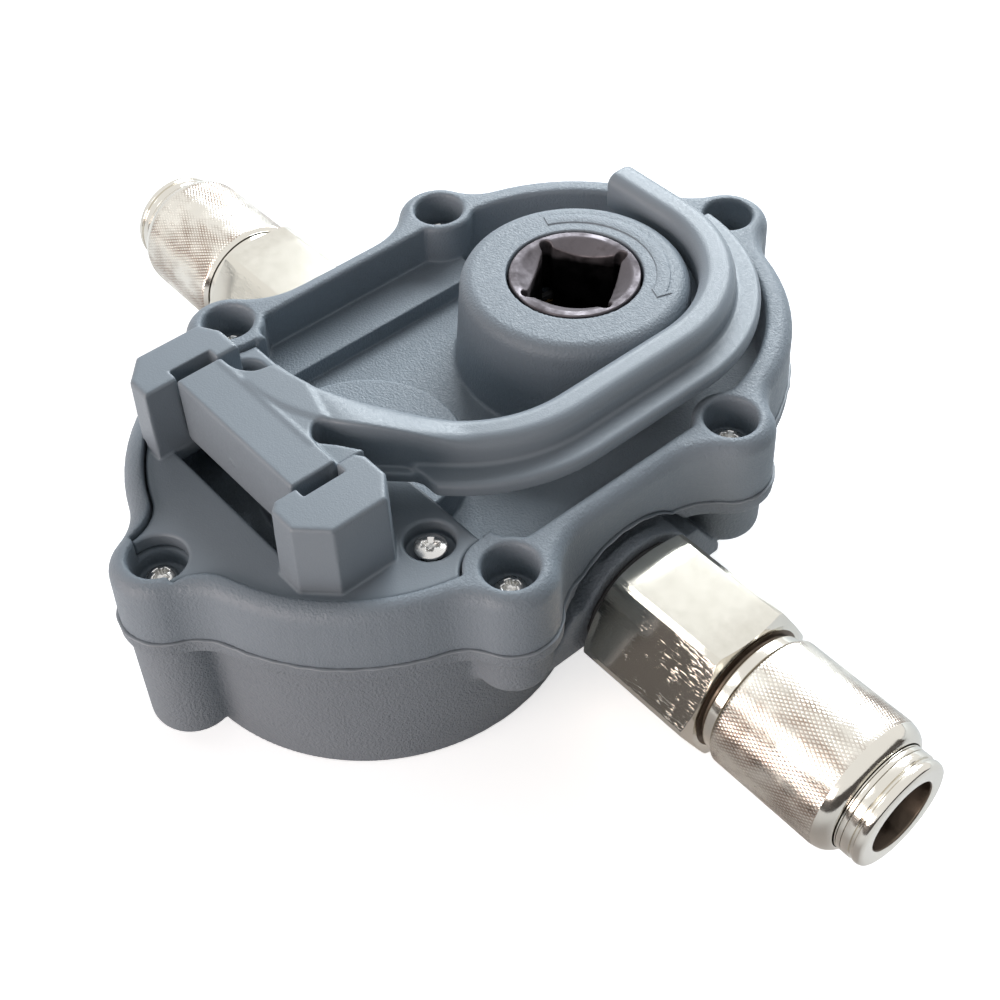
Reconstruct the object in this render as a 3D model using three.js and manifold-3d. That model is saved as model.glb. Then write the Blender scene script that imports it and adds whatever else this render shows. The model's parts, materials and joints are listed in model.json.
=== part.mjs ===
// Manual bilge pump with a square drive, two quick couplings and a fold-out hanging hook.
// Millimetres, +Z up. X runs along the two couplings, Y from the pump pot (-) to the drive boss (+),
// and z = 0 is the flat foot of the pump pot.
import * as THREE from "three";
import { mergeVertices } from "three/addons/utils/BufferGeometryUtils.js";
import Module from "manifold-3d";

const wasm = await Module();
wasm.setup();

// ---- driving dimensions -------------------------------------------------------------------
const GAP = 0.3; // between pieces that touch
const RUN = 0.3; // radial running clearance
const CHORD = 0.14; // facet error of round walls

// heights from the foot of the pot
const RIM_Z = 37.6;
const FLOOR_Z = 27.8; // open recess floor
const PART_Z = 26.5; // the two housings part here
const SPIGOT = 1.2; // upper housing's locating spigot
const FLANGE_T = 2.6; // lower housing's rim flange
const BOSS_Z = 44.1;
const PLATE_Z = 36.7;
const PLATE_T = 2.4;
const EAR_Z = 49.3;
const SMALL_BOSS_Z = 33.9;
const PLATEAU_Z = 30.7;

// plan
const AXIS_Y = 21.75; // drive shaft at +Y, impeller shaft at -Y
const WAIST_X = 35;
const END_R = 34.7; // stadium ends
const LOBE_R = 6.85;
const LOBE_X = 34.4;
const LOBE_END_Y = 57;
const WELL_R = 4.1; // screw well
const RECESS_X = 31.5;
const RECESS_R = 30.2;
const EDGE_R = 2.2; // rim rounding
const DRAFT = 0.35; // wall draft over its height
const FLANGE_PROUD = 0.65; // lower flange beyond the rim

// drive boss and socket
const BOSS_R = 18;
const BOSS_FOOT_R = 19.3;
const SOCKET_R = 10.4;
const SOCKET_GAP = 0.4;
const SQUARE = 12.85; // 1/2 inch female square
const SQUARE_TURN = 35; // degrees
const SQUARE_DEEP = 17;
const SOCKET_BODY_R = 8.2;
const SHAFT_R = 5;

// gears
const MODULE = 1.5;
const TEETH_DRIVE = 36;
const TEETH_PINION = 22;
const GEAR_Z = 20.7;
const GEAR_T = 4.1;
const BACKLASH = 0.16;

// pump chamber
const POT_R = 33.4;
const POT_FOOT_R = 33;
const POT_EDGE = 1; // foot rounding
const CHAMBER_R = 28.8;
const CHAMBER_FLOOR = 3.4;
const COVER_Z = 17.6;
const COVER_T = 2.4;
const COVER_R = 30.3;
const CAM_R = 25.6; // inner radius over the cam between the ports
const IMPELLER_R = 25.1;
const IMPELLER_HUB = 9.5;
const VANES = 8;
const PUMP_SHAFT_R = 4;

// ports and couplings (x from the centre line)
const PORT_Z = 16.2;
const PORT_FACE_X = 38;
const COLLAR_R = 13.6;
const THREAD_R = 8.2;
const PASSAGE_R = 4.8;
const PASSAGE_Z = 12.4;
const HEX_AF = 22.3;
const HEX_X = [39.3, 60];
const SLEEVE_R = 10.9;
const SLEEVE_X = [63.1, 84.7];
const SLEEVE_TRAVEL = 2.4;
const BODY_R = 8.7;
const NOSE_R = 8.85;
const MOUTH_R = 6.15;
const END_X = 88.8;
const POPPET_TRAVEL = 4;

// hook
const HINGE_Y = -37.2;
const HINGE_Z = 40.8;
const PIN_R = 3.1;
const BLOCK_X = [-15.9, 12.1];
const BLOCK_Y = [-41, -33.4];
const BLOCK_Z = 36.4;
const BEAD_W = 5.8;
const BEAD_Z = 46.1;
const HOOK_Z = 39.5; // underside of the arm
const FLANGE_Z = 41.8;
const FLANGE_W = 7; // from the bead's centre line
const BEND_R = 22.3;
const TAIL_X = -13.5;
const LOWER_R = 23.4;
const FLANGE_END_Y = -22.3;
const RIB_W = 1.6; // rib that carries the flange on

// ---- materials ----------------------------------------------------------------------------
const mat = (hex, roughness, metalness) => new THREE.MeshStandardMaterial({ color: hex, roughness, metalness });
const GREY = () => mat(0x6f7780, 0.62, 0);
const GREY_LOW = () => mat(0x6a6e74, 0.68, 0);
const GREY_SMOOTH = () => mat(0x76808a, 0.5, 0);
const NICKEL = () => mat(0xd2ccc0, 0.22, 1);
const STEEL = () => mat(0xb8b6b2, 0.28, 1);
const DARK_STEEL = () => mat(0x3a383a, 0.42, 1);
const POM = () => mat(0xe6e4dc, 0.45, 0);
const BRONZE = () => mat(0x9a7444, 0.4, 1);
const RUBBER = () => mat(0x1c1c1d, 0.8, 0);

// ---- helpers ------------------------------------------------------------------------------
const { cos, sin, PI, hypot, atan2, acos, sqrt, abs, max, min, round } = Math;
const DEG = PI / 180;
const v2 = (x, y) => new THREE.Vector2(x, y);
// sides of a circle for a chord error of about a tenth of a millimetre
const sides = (r, e = CHORD) => 2 * max(4, round(PI / acos(1 - e / r) / 2));

// closed three.js geometry -> solid
function solid(geometry) {
  const g = geometry.index ? geometry.clone() : geometry;
  const bare = new THREE.BufferGeometry();
  bare.setAttribute("position", g.getAttribute("position"));
  if (g.index) bare.setIndex(g.index);
  const m = mergeVertices(bare, 1e-4);
  const idx = m.index.array;
  const tri = [];
  for (let i = 0; i < idx.length; i += 3) {
    const [a, b, c] = [idx[i], idx[i + 1], idx[i + 2]];
    if (a !== b && b !== c && a !== c) tri.push(a, b, c);
  }
  const make = (t) =>
    new wasm.Manifold(
      new wasm.Mesh({
        numProp: 3,
        vertProperties: new Float32Array(m.attributes.position.array),
        triVerts: new Uint32Array(t),
      }),
    );
  const s = make(tri);
  if (s.volume() > 0) return s;
  for (let i = 0; i < tri.length; i += 3) [tri[i + 1], tri[i + 2]] = [tri[i + 2], tri[i + 1]];
  return make(tri);
}

const join = (...s) => s.flat().reduce((a, b) => a.add(b));
const cut = (s, ...t) => t.flat().reduce((a, b) => a.subtract(b), s);

// shape in plan, extruded from z0 to z1
function slab(shape, z0, z1, seg = 12) {
  const g = new THREE.ExtrudeGeometry(shape, { depth: z1 - z0, bevelEnabled: false, curveSegments: seg });
  return solid(g.translate(0, 0, z0));
}

// round bar along Z
function bar(r0, r1, z0, z1, x = 0, y = 0, seg = sides(max(r0, r1))) {
  const g = new THREE.CylinderGeometry(r1, r0, z1 - z0, seg);
  return solid(g.rotateX(PI / 2).translate(x, y, (z0 + z1) / 2));
}
const rod = (r, z0, z1, x = 0, y = 0, seg) => bar(r, r, z0, z1, x, y, seg);

// round bar along X at height z
function rodX(r, x0, x1, y = 0, z = PORT_Z, seg = sides(r)) {
  const g = new THREE.CylinderGeometry(r, r, x1 - x0, seg);
  return solid(g.rotateZ(-PI / 2).translate((x0 + x1) / 2, y, z));
}

function block(x0, x1, y0, y1, z0, z1) {
  const g = new THREE.BoxGeometry(x1 - x0, y1 - y0, z1 - z0);
  return solid(g.translate((x0 + x1) / 2, (y0 + y1) / 2, (z0 + z1) / 2));
}

// [r, z] profile, closed on itself or on the axis, turned about Z
function turned(profile, seg = sides(max(...profile.map((p) => p[0]))), x = 0, y = 0) {
  const g = new THREE.LatheGeometry(profile.map(([r, z]) => v2(r, z)), seg);
  return solid(g.rotateX(PI / 2).translate(x, y, 0));
}

// [x, r] profile turned about the coupling axis
function turnedX(profile, seg = sides(max(...profile.map((p) => p[1])))) {
  const g = new THREE.LatheGeometry(profile.map(([x, r]) => v2(r, x)), seg);
  return solid(g.rotateZ(-PI / 2).translate(0, 0, PORT_Z));
}

// rings of equal length (closed loops) -> one closed skin with flat caps
function loft(rings, cap) {
  const n = rings[0].length;
  const pos = rings.flat().flatMap((p) => [p.x, p.y, p.z]);
  const idx = [];
  for (let k = 0; k + 1 < rings.length; k++) {
    for (let i = 0; i < n; i++) {
      const j = (i + 1) % n;
      const [a, b, c, d] = [k * n + i, k * n + j, (k + 1) * n + j, (k + 1) * n + i];
      idx.push(a, b, c, a, c, d);
    }
  }
  const faces = THREE.ShapeUtils.triangulateShape(cap, []);
  const top = (rings.length - 1) * n;
  const ccw = THREE.ShapeUtils.area(cap) > 0;
  for (const [a, b, c] of faces) {
    if (ccw) idx.push(a, c, b, top + a, top + b, top + c);
    else idx.push(a, b, c, top + a, top + c, top + b);
  }
  const g = new THREE.BufferGeometry();
  g.setAttribute("position", new THREE.Float32BufferAttribute(pos, 3));
  g.setIndex(idx);
  return solid(g);
}

function mesh(name, s, material, shift) {
  const m = s.getMesh();
  const g = new THREE.BufferGeometry();
  g.setAttribute("position", new THREE.BufferAttribute(new Float32Array(m.vertProperties), 3));
  g.setIndex(new THREE.BufferAttribute(new Uint32Array(m.triVerts), 1));
  g.computeVertexNormals();
  const o = new THREE.Mesh(g, material);
  o.name = name;
  if (shift) o.position.set(...shift);
  return o;
}

// points on an arc from angle a0 to a1 (radians), both ends included
function arc(cx, cy, r, a0, a1, n) {
  return Array.from({ length: n + 1 }, (_, i) => {
    const a = a0 + ((a1 - a0) * i) / n;
    return v2(cx + r * cos(a), cy + r * sin(a));
  });
}

// centre of the circle that touches circles (a, ra) and (b, rb) from outside, on the given side
function touch(a, ra, b, rb, f, side) {
  const d = hypot(b.x - a.x, b.y - a.y);
  const p = ra + f;
  const q = rb + f;
  const u = (p * p - q * q + d * d) / (2 * d);
  const h = sqrt(p * p - u * u) * side;
  const ex = (b.x - a.x) / d;
  const ey = (b.y - a.y) / d;
  return v2(a.x + u * ex - h * ey, a.y + u * ey + h * ex);
}

// ---- outline of the housings, grown by o --------------------------------------------------
function outline(o) {
  const w = WAIST_X + o;
  const r = LOBE_R + o;
  const R = END_R + o;
  const end = v2(0, AXIS_Y);
  const lobe = v2(LOBE_X, AXIS_Y);
  const tip = v2(0, LOBE_END_Y);
  const f1 = 12 - o;
  const f2 = 8 - o;
  const f3 = 10 - o;
  const c1 = v2(w + f1, AXIS_Y - sqrt((r + f1) ** 2 - (w + f1 - LOBE_X) ** 2));
  const c2 = touch(end, R, lobe, r, f2, 1);
  const c3 = touch(end, R, tip, r, f3, -1);
  const dir = (from, to) => atan2(to.y - from.y, to.x - from.x);
  const turn = (from, to) => (dir(from, to) + 2 * PI) % (2 * PI); // the same, from 0 to a full turn
  const q = [
    ...arc(c1.x, c1.y, f1, PI, dir(c1, lobe), 3),
    ...arc(lobe.x, lobe.y, r, dir(lobe, c1), dir(lobe, c2), 6).slice(1),
    ...arc(c2.x, c2.y, f2, turn(c2, lobe), turn(c2, end), 3).slice(1),
    ...arc(end.x, end.y, R, dir(end, c2), dir(end, c3), 4).slice(1),
    ...arc(c3.x, c3.y, f3, turn(c3, end), turn(c3, tip), 3).slice(1),
    ...arc(tip.x, tip.y, r, dir(tip, c3), PI / 2, 3).slice(1),
  ];
  const left = q.slice(0, -1).reverse().map((p) => v2(-p.x, p.y));
  const half = [...q, ...left];
  const lower = half.slice().reverse().map((p) => v2(p.x, -p.y));
  return [...half, ...lower];
}
const at = (pts, z) => pts.map((p) => new THREE.Vector3(p.x, p.y, z));

const LOBES = [
  [LOBE_X, AXIS_Y],
  [0, LOBE_END_Y],
  [-LOBE_X, AXIS_Y],
  [-LOBE_X, -AXIS_Y],
  [0, -LOBE_END_Y],
  [LOBE_X, -AXIS_Y],
];

function stadium(r) {
  const s = new THREE.Shape();
  s.absarc(0, AXIS_Y, r, 0, PI, false);
  s.absarc(0, -AXIS_Y, r, PI, 2 * PI, false);
  s.closePath();
  return s;
}

// ---- cover plate outline, grown by g ------------------------------------------------------
const PLATE_BACK = -21.3;
const PLATE_R = 31.4;
const PLATE_COLLAR = 7; // cut round the screw lobes
const PLATE_TIP_F = 7.5;
function plateShape(g) {
  const c = v2(0, -AXIS_Y);
  const R = PLATE_R + g;
  const rc = PLATE_COLLAR - g;
  const rf = PLATE_TIP_F - g;
  const back = PLATE_BACK + g;
  const lobe = v2(LOBE_X, -AXIS_Y);
  const a0 = PI + Math.asin((-AXIS_Y - back) / rc);
  const u = (R * R - rc * rc + LOBE_X ** 2) / (2 * LOBE_X);
  const meet = atan2(-sqrt(R * R - u * u), u);
  const a1 = atan2(R * sin(meet), R * cos(meet) - LOBE_X) + 2 * PI;
  const fx = 12.7;
  const fy = c.y - sqrt((PLATE_R + PLATE_TIP_F) ** 2 - fx * fx);
  const tan = atan2(fy - c.y, fx);
  const side = [
    ...arc(lobe.x, lobe.y, rc, a0, a1, 3),
    ...arc(c.x, c.y, R, meet, tan, 6).slice(1),
    ...arc(fx, fy, rf, tan + PI, PI - 4 * DEG, 3).slice(1),
  ];
  const other = side.slice().reverse().map((p) => v2(-p.x, p.y));
  return new THREE.Shape([...side, ...other]);
}

// ---- upper housing ------------------------------------------------------------------------
const SCREW_SEAT = 31.2; // under the heads of the rim screws
const PLATE_SCREW = [23, -26.5];
const PLATE_SEAT = 31.4;
const CUP_R = 4.7;

function upperHousing() {
  const rings = [at(outline(DRAFT), PART_Z)];
  for (const a of [90, 40, 0]) {
    const o = -EDGE_R + EDGE_R * sin(a * DEG);
    rings.push(at(outline(o), RIM_Z - EDGE_R * (1 - cos(a * DEG))));
  }
  let s = loft(rings, outline(DRAFT));
  // open recess: deep behind the plate, stepped in below it
  const well = join(
    block(-RECESS_X, RECESS_X, -19, 19, FLOOR_Z, RIM_Z + 1),
    bar(RECESS_R - 0.3, RECESS_R, FLOOR_Z, RIM_Z + 1, 0, AXIS_Y),
    bar(27, 27.2, FLOOR_Z, RIM_Z + 1, 0, -AXIS_Y),
  );
  const collars = LOBES.filter(([x]) => x).map(([x, y]) => rod(6, PART_Z, RIM_Z + 2, x, y, 20));
  const tip = rod(6, PART_Z, RIM_Z + 2, 0, LOBE_END_Y, 20);
  s = cut(s, cut(well, ...collars, tip));
  s = cut(s, slab(plateShape(0.35), PLATE_Z - PLATE_T - GAP, RIM_Z + 1));
  // raised strip on the left
  const strip = block(-RECESS_X, -23.4, -21, AXIS_Y, FLOOR_Z - 1, PLATEAU_Z);
  s = join(s, strip);
  // drive boss
  const boss = turned(
    [
      [0, FLOOR_Z - 1],
      [BOSS_FOOT_R, FLOOR_Z - 1],
      [BOSS_R + 0.1, BOSS_Z - 1.8],
      [BOSS_R - 0.55, BOSS_Z - 0.55],
      [BOSS_R - 1.8, BOSS_Z],
      [0, BOSS_Z],
    ],
    36,
    0,
    AXIS_Y,
  );
  // small boss over the impeller shaft, and seats for the plate screws
  const small = turned(
    [
      [0, FLOOR_Z - 1],
      [16.3, FLOOR_Z - 1],
      [16, SMALL_BOSS_Z - 0.4],
      [15.6, SMALL_BOSS_Z],
      [0, SMALL_BOSS_Z],
    ],
    30,
    0,
    -AXIS_Y,
  );
  const seats = [-1, 1].map((k) => rod(CUP_R, FLOOR_Z - 1, 29.6, k * PLATE_SCREW[0], PLATE_SCREW[1], 16));
  // spigot into the lower housing, with the two shaft bores
  const spigot = slab(stadium(29.4), PART_Z - SPIGOT, PART_Z + 0.1, 10);
  s = join(s, boss, small, spigot, ...seats);
  const holes = [
    rod(SOCKET_R + SOCKET_GAP, BUSH_TOP - 0.1, BOSS_Z + 1, 0, AXIS_Y, 32),
    rod(BUSH_R + 0.05 + GAP, PART_Z - SPIGOT - 1, BUSH_TOP, 0, AXIS_Y, 22),
    rod(PUMP_BUSH_R + GAP, PART_Z - SPIGOT - 1, 31.2, 0, -AXIS_Y, 18),
    ...LOBES.map(([x, y]) => rod(WELL_R, SCREW_SEAT, RIM_Z + 1, x, y, 18)),
    ...LOBES.map(([x, y]) => rod(2, PART_Z - 1, SCREW_SEAT + 0.1, x, y, 8)),
    ...[-1, 1].map((k) => rod(1.4, FLOOR_Z - 1.6, 30, k * PLATE_SCREW[0], PLATE_SCREW[1], 8)),
    ...[-1, 1].map((k) => rod(CUP_R + GAP, 29.6, RIM_Z, k * PLATE_SCREW[0], PLATE_SCREW[1], 16)),
  ];
  return cut(s, ...holes);
}

// bushes
const BUSH_R = 10.2; // drive bush, outer
const BUSH_TOP = 33.3; // top of its bore
const PUMP_BUSH_R = 6.6;

// ---- lower housing ------------------------------------------------------------------------
const CASE_R = 32.4;
const CASE_Z = 17.4; // underside on the drive side
const CASE_CAVITY_R = 29.8;
const BUSH_BOSS_R = 11.4; // round boss under the case for the drive bush
const BUSH_BOSS_Z = 15.1;
const CASE_FLOOR = 20.2;
const BOSS_SIDE_R = 5.8;
const BOSS_END_R = 6.5;
const SEAL_Z = 25.2; // bottom of the housing seal's groove
const SEAL_R = [30.6, 32.2];
const THREAD_X = 27.5; // port thread starts here

function roundBoss(x, y, z0) {
  const r = x ? BOSS_SIDE_R : BOSS_END_R;
  return turned(
    [
      [0, z0],
      [r - 2, z0],
      [r - 0.4, z0 + 0.8],
      [r, z0 + 2.2],
      [r + 0.3, PART_Z - 1],
      [0, PART_Z - 1],
    ],
    14,
    x,
    y,
  );
}

// arch-shaped port block seen along X
function portShape() {
  const s = new THREE.Shape();
  const a = 38 * DEG;
  s.moveTo(-17.2, -3.1);
  s.lineTo(17.2, -3.1);
  s.lineTo(18.1, -1.4);
  s.absarc(0, 0, COLLAR_R, a, PI - a, false);
  s.lineTo(-18.1, -1.4);
  s.closePath();
  return s;
}

function lowerHousing() {
  const low = outline(FLANGE_PROUD);
  const flange = loft([at(low, PART_Z - FLANGE_T), at(outline(FLANGE_PROUD - 0.1), PART_Z)], low);
  const gearCase = slab(stadium(CASE_R), CASE_Z, PART_Z - 1, 10);
  const pot = turned(
    [
      [0, 0],
      [POT_FOOT_R - POT_EDGE, 0],
      [POT_FOOT_R - 0.3 * POT_EDGE, 0.3 * POT_EDGE],
      [POT_FOOT_R, POT_EDGE],
      [POT_R, PART_Z - 1],
      [0, PART_Z - 1],
    ],
    40,
    0,
    -AXIS_Y,
  );
  const bosses = LOBES.map(([x, y]) => roundBoss(x, y, x ? 15.1 : y < 0 ? 2.6 : 15.1));
  const bushBoss = rod(BUSH_BOSS_R, BUSH_BOSS_Z, CASE_Z + 0.5, 0, AXIS_Y, 24);
  let s = join(flange, gearCase, pot, bushBoss, ...bosses);
  // webs from the side bosses to the case
  for (const [x, y] of LOBES) {
    if (x) s = join(s, block(min(x, x * 0.75), max(x, x * 0.75), y - 1.5, y + 1.5, 17.4, PART_Z - 1));
    else s = join(s, block(-1.5, 1.5, min(y, y * 0.9), max(y, y * 0.9), 17.4, PART_Z - 1));
  }
  // ports
  const turn = new THREE.Matrix4().makeBasis(
    new THREE.Vector3(0, 1, 0),
    new THREE.Vector3(0, 0, 1),
    new THREE.Vector3(1, 0, 0),
  );
  const clear = loft([at(outline(DRAFT + GAP), PART_Z), at(outline(GAP), RIM_Z)], outline(GAP));
  for (const k of [1, -1]) {
    const deep = PORT_FACE_X - 25;
    const arch = new THREE.ExtrudeGeometry(portShape(), { depth: deep, bevelEnabled: false, curveSegments: 8 });
    arch.applyMatrix4(turn).translate(k > 0 ? PORT_FACE_X - deep : -PORT_FACE_X, 0, PORT_Z);
    const tube = rodX(COLLAR_R - 2.4, k > 0 ? 24 : -PORT_FACE_X, k > 0 ? PORT_FACE_X : -24);
    s = join(s, cut(join(solid(arch), tube), clear));
  }
  // gear case, chamber with its cam, and the seats
  const chamber = rod(CHAMBER_R, CHAMBER_FLOOR, COVER_Z + 0.1, 0, -AXIS_Y, 28);
  const cam = new THREE.Shape();
  const a = 26 * DEG;
  const out = CHAMBER_R + 1;
  cam.absarc(0, 0, out, PI / 2 + a, PI / 2 - a, true);
  cam.absarc(0, 0, CAM_R, PI / 2 - a + 0.12, PI / 2 + a - 0.12, false);
  cam.closePath();
  const camBody = slab(cam, CHAMBER_FLOOR - 0.5, COVER_Z, 6).translate([0, -AXIS_Y, 0]);
  s = cut(
    s,
    slab(stadium(CASE_CAVITY_R), CASE_FLOOR, PART_Z + 1, 10),
    rod(COVER_R + GAP, COVER_Z, CASE_FLOOR + 0.1, 0, -AXIS_Y, 28),
    cut(chamber, camBody),
    ring2(SEAL_R[0], SEAL_R[1], SEAL_Z, PART_Z + 1),
    rod(CASE_BUSH_R + GAP, BUSH_BOSS_Z + 1.4, CASE_FLOOR + 0.1, 0, AXIS_Y, 18),
    rod(PUMP_BUSH_R + GAP, 1.2, CHAMBER_FLOOR + 0.1, 0, -AXIS_Y, 18),
  );
  for (const k of [1, -1]) {
    s = cut(
      s,
      rodX(THREAD_R + GAP, k > 0 ? THREAD_X : -50, k > 0 ? 50 : -THREAD_X),
      rodX(PASSAGE_R, k > 0 ? 14 : -30, k > 0 ? 30 : -14, 0, PASSAGE_Z, 12),
    );
  }
  return cut(s, ...LOBES.map(([x, y]) => rod(1.7, SCREW_TIP - 1, PART_Z + 1, x, y, 8)));
}
const CASE_BUSH_R = 8;
const SCREW_TIP = 19.5;

// flat ring between two stadiums
function ring2(r0, r1, z0, z1) {
  return cut(slab(stadium(r1), z0, z1, 10), slab(stadium(r0), z0 - 1, z1 + 1, 10));
}

// ---- cover plate with the ears ------------------------------------------------------------
const SLOT = [-15.9, 12.2, -43.7, -32.3];
const GROOVE_D = 2;
const LEFT_EAR = { x: [-24.2, -16.3], y: [-46, -30] };
const RIGHT_EAR = { x: [12.6, 22.3], y: [-45.5, -29.8] };

function ear(points) {
  const cx = points.reduce((t, p) => t + p[0], 0) / points.length;
  const cy = points.reduce((t, p) => t + p[1], 0) / points.length;
  const grow = (k, z) => points.map(([x, y]) => new THREE.Vector3(cx + (x - cx) * k, cy + (y - cy) * k, z));
  const cap = points.map(([x, y]) => v2(x, y));
  const rings = [grow(1.035, PLATE_Z - 1), grow(1, EAR_Z - 0.5), grow(0.95, EAR_Z)];
  return loft(rings, cap);
}

// upright groove with a round foot that holds a hook pin, open at the top
function pinGroove(x0, x1) {
  const r = PIN_R + RUN;
  const foot = rodX(r, x0, x1, HINGE_Y, HINGE_Z, 16);
  return join(foot, block(x0, x1, HINGE_Y - r, HINGE_Y + r, HINGE_Z, EAR_Z + 1));
}

function coverPlate() {
  let s = slab(plateShape(0), PLATE_Z - PLATE_T, PLATE_Z);
  const [lx0, lx1] = LEFT_EAR.x;
  const [ly0, ly1] = LEFT_EAR.y;
  const [rx0, rx1] = RIGHT_EAR.x;
  const [ry0, ry1] = RIGHT_EAR.y;
  const left = ear([
    [lx1, ly0],
    [lx1, ly1],
    [lx0 + 3.2, ly1],
    [lx0, ly1 - 1.8],
    [lx0, ly0 + 3.5],
    [lx0 + 3.9, ly0],
  ]);
  const right = ear([
    [rx0 + 1.4, ry0],
    [rx1 - 4, ry0],
    [rx1, ry0 + 4],
    [rx1, ry1 - 2.8],
    [rx1 - 3.8, ry1],
    [rx0 + 1.4, ry1],
    [rx0, ry1 - 1],
    [rx0, ry0 + 1.4],
  ]);
  const cups = [-1, 1].map((k) => rod(CUP_R, 29.9, PLATE_Z - 1, k * PLATE_SCREW[0], PLATE_SCREW[1], 16));
  s = join(s, ...cups);
  // the cups' wells stop at the heads' seat
  s = cut(s, ...[-1, 1].map((k) => rod(3.6, PLATE_SEAT, PLATE_Z + 1, k * PLATE_SCREW[0], PLATE_SCREW[1], 18)));
  // the ears hang over the rim, clear of it
  const under = slab(stadium(60), PLATE_Z - 2, RIM_Z + GAP, 8);
  const overhang = cut(under, slab(plateShape(-0.05), PLATE_Z - 3, RIM_Z + 1));
  s = join(s, cut(join(left, right), overhang));
  return cut(
    s,
    block(SLOT[0], SLOT[1], SLOT[2], SLOT[3], PLATE_Z - PLATE_T - 1, PLATE_Z + 0.5),
    block(lx1 - 0.01, rx0 + 0.01, SLOT[2], SLOT[3], PLATE_Z, EAR_Z + 1),
    pinGroove(lx1 - GROOVE_D, lx1 + 2),
    pinGroove(rx0 - 2, rx0 + GROOVE_D),
    rod(WELL_R + GAP, PLATE_Z - 4, PLATE_Z + 1, 0, -LOBE_END_Y, 18),
    ...[-1, 1].map((k) => rod(1.7, 29, 32, k * PLATE_SCREW[0], PLATE_SCREW[1], 8)),
  );
}

// ---- hanging hook -------------------------------------------------------------------------
// centre line of the arm: points with their left-hand normal and the distance run
function hookPath() {
  const y1 = -30.8 + LOWER_R * Math.tan(22.5 * DEG) + 21.6;
  const c1 = v2(BEND_R - LOWER_R, y1);
  const p1 = v2(c1.x + LOWER_R * cos(-45 * DEG), c1.y + LOWER_R * sin(-45 * DEG));
  const c2 = v2(BEND_R - 21.6 - LOWER_R * Math.tan(22.5 * DEG), -30.8 + LOWER_R);
  const line = [v2(TAIL_X, AXIS_Y + BEND_R)];
  const pts = [
    ...line,
    ...arc(0, AXIS_Y, BEND_R, PI / 2, 0, 10),
    ...arc(c1.x, c1.y, LOWER_R, 0, -45 * DEG, 5),
    ...arc(c2.x, c2.y, LOWER_R, -45 * DEG, -90 * DEG, 5),
    v2(c2.x - 0.6, -30.8),
  ];
  return { pts, p1, c2 };
}

// sweep a [side, height] section along plan points; top(t) lifts the section's upper points
function sweep(pts, section, lift) {
  const n = pts.length;
  const rings = pts.map((p, i) => {
    const a = pts[max(0, i - 1)];
    const b = pts[min(n - 1, i + 1)];
    const d = v2(b.x - a.x, b.y - a.y).normalize();
    const k = i && i < n - 1 ? 1 / max(0.7, cos(bend(a, p, b) / 2)) : 1;
    return section.map(([u, z]) => {
      const up = z > BEAD_Z - 3 ? lift(i / (n - 1), p) : 0;
      return new THREE.Vector3(p.x + d.y * u * k * -1, p.y + d.x * u * k, z + up);
    });
  });
  return loft(rings, section.map(([u, z]) => v2(u, z)));
}
function bend(a, p, b) {
  const u = v2(p.x - a.x, p.y - a.y).normalize();
  const v = v2(b.x - p.x, b.y - p.y).normalize();
  return acos(max(-1, min(1, u.dot(v))));
}

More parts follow.
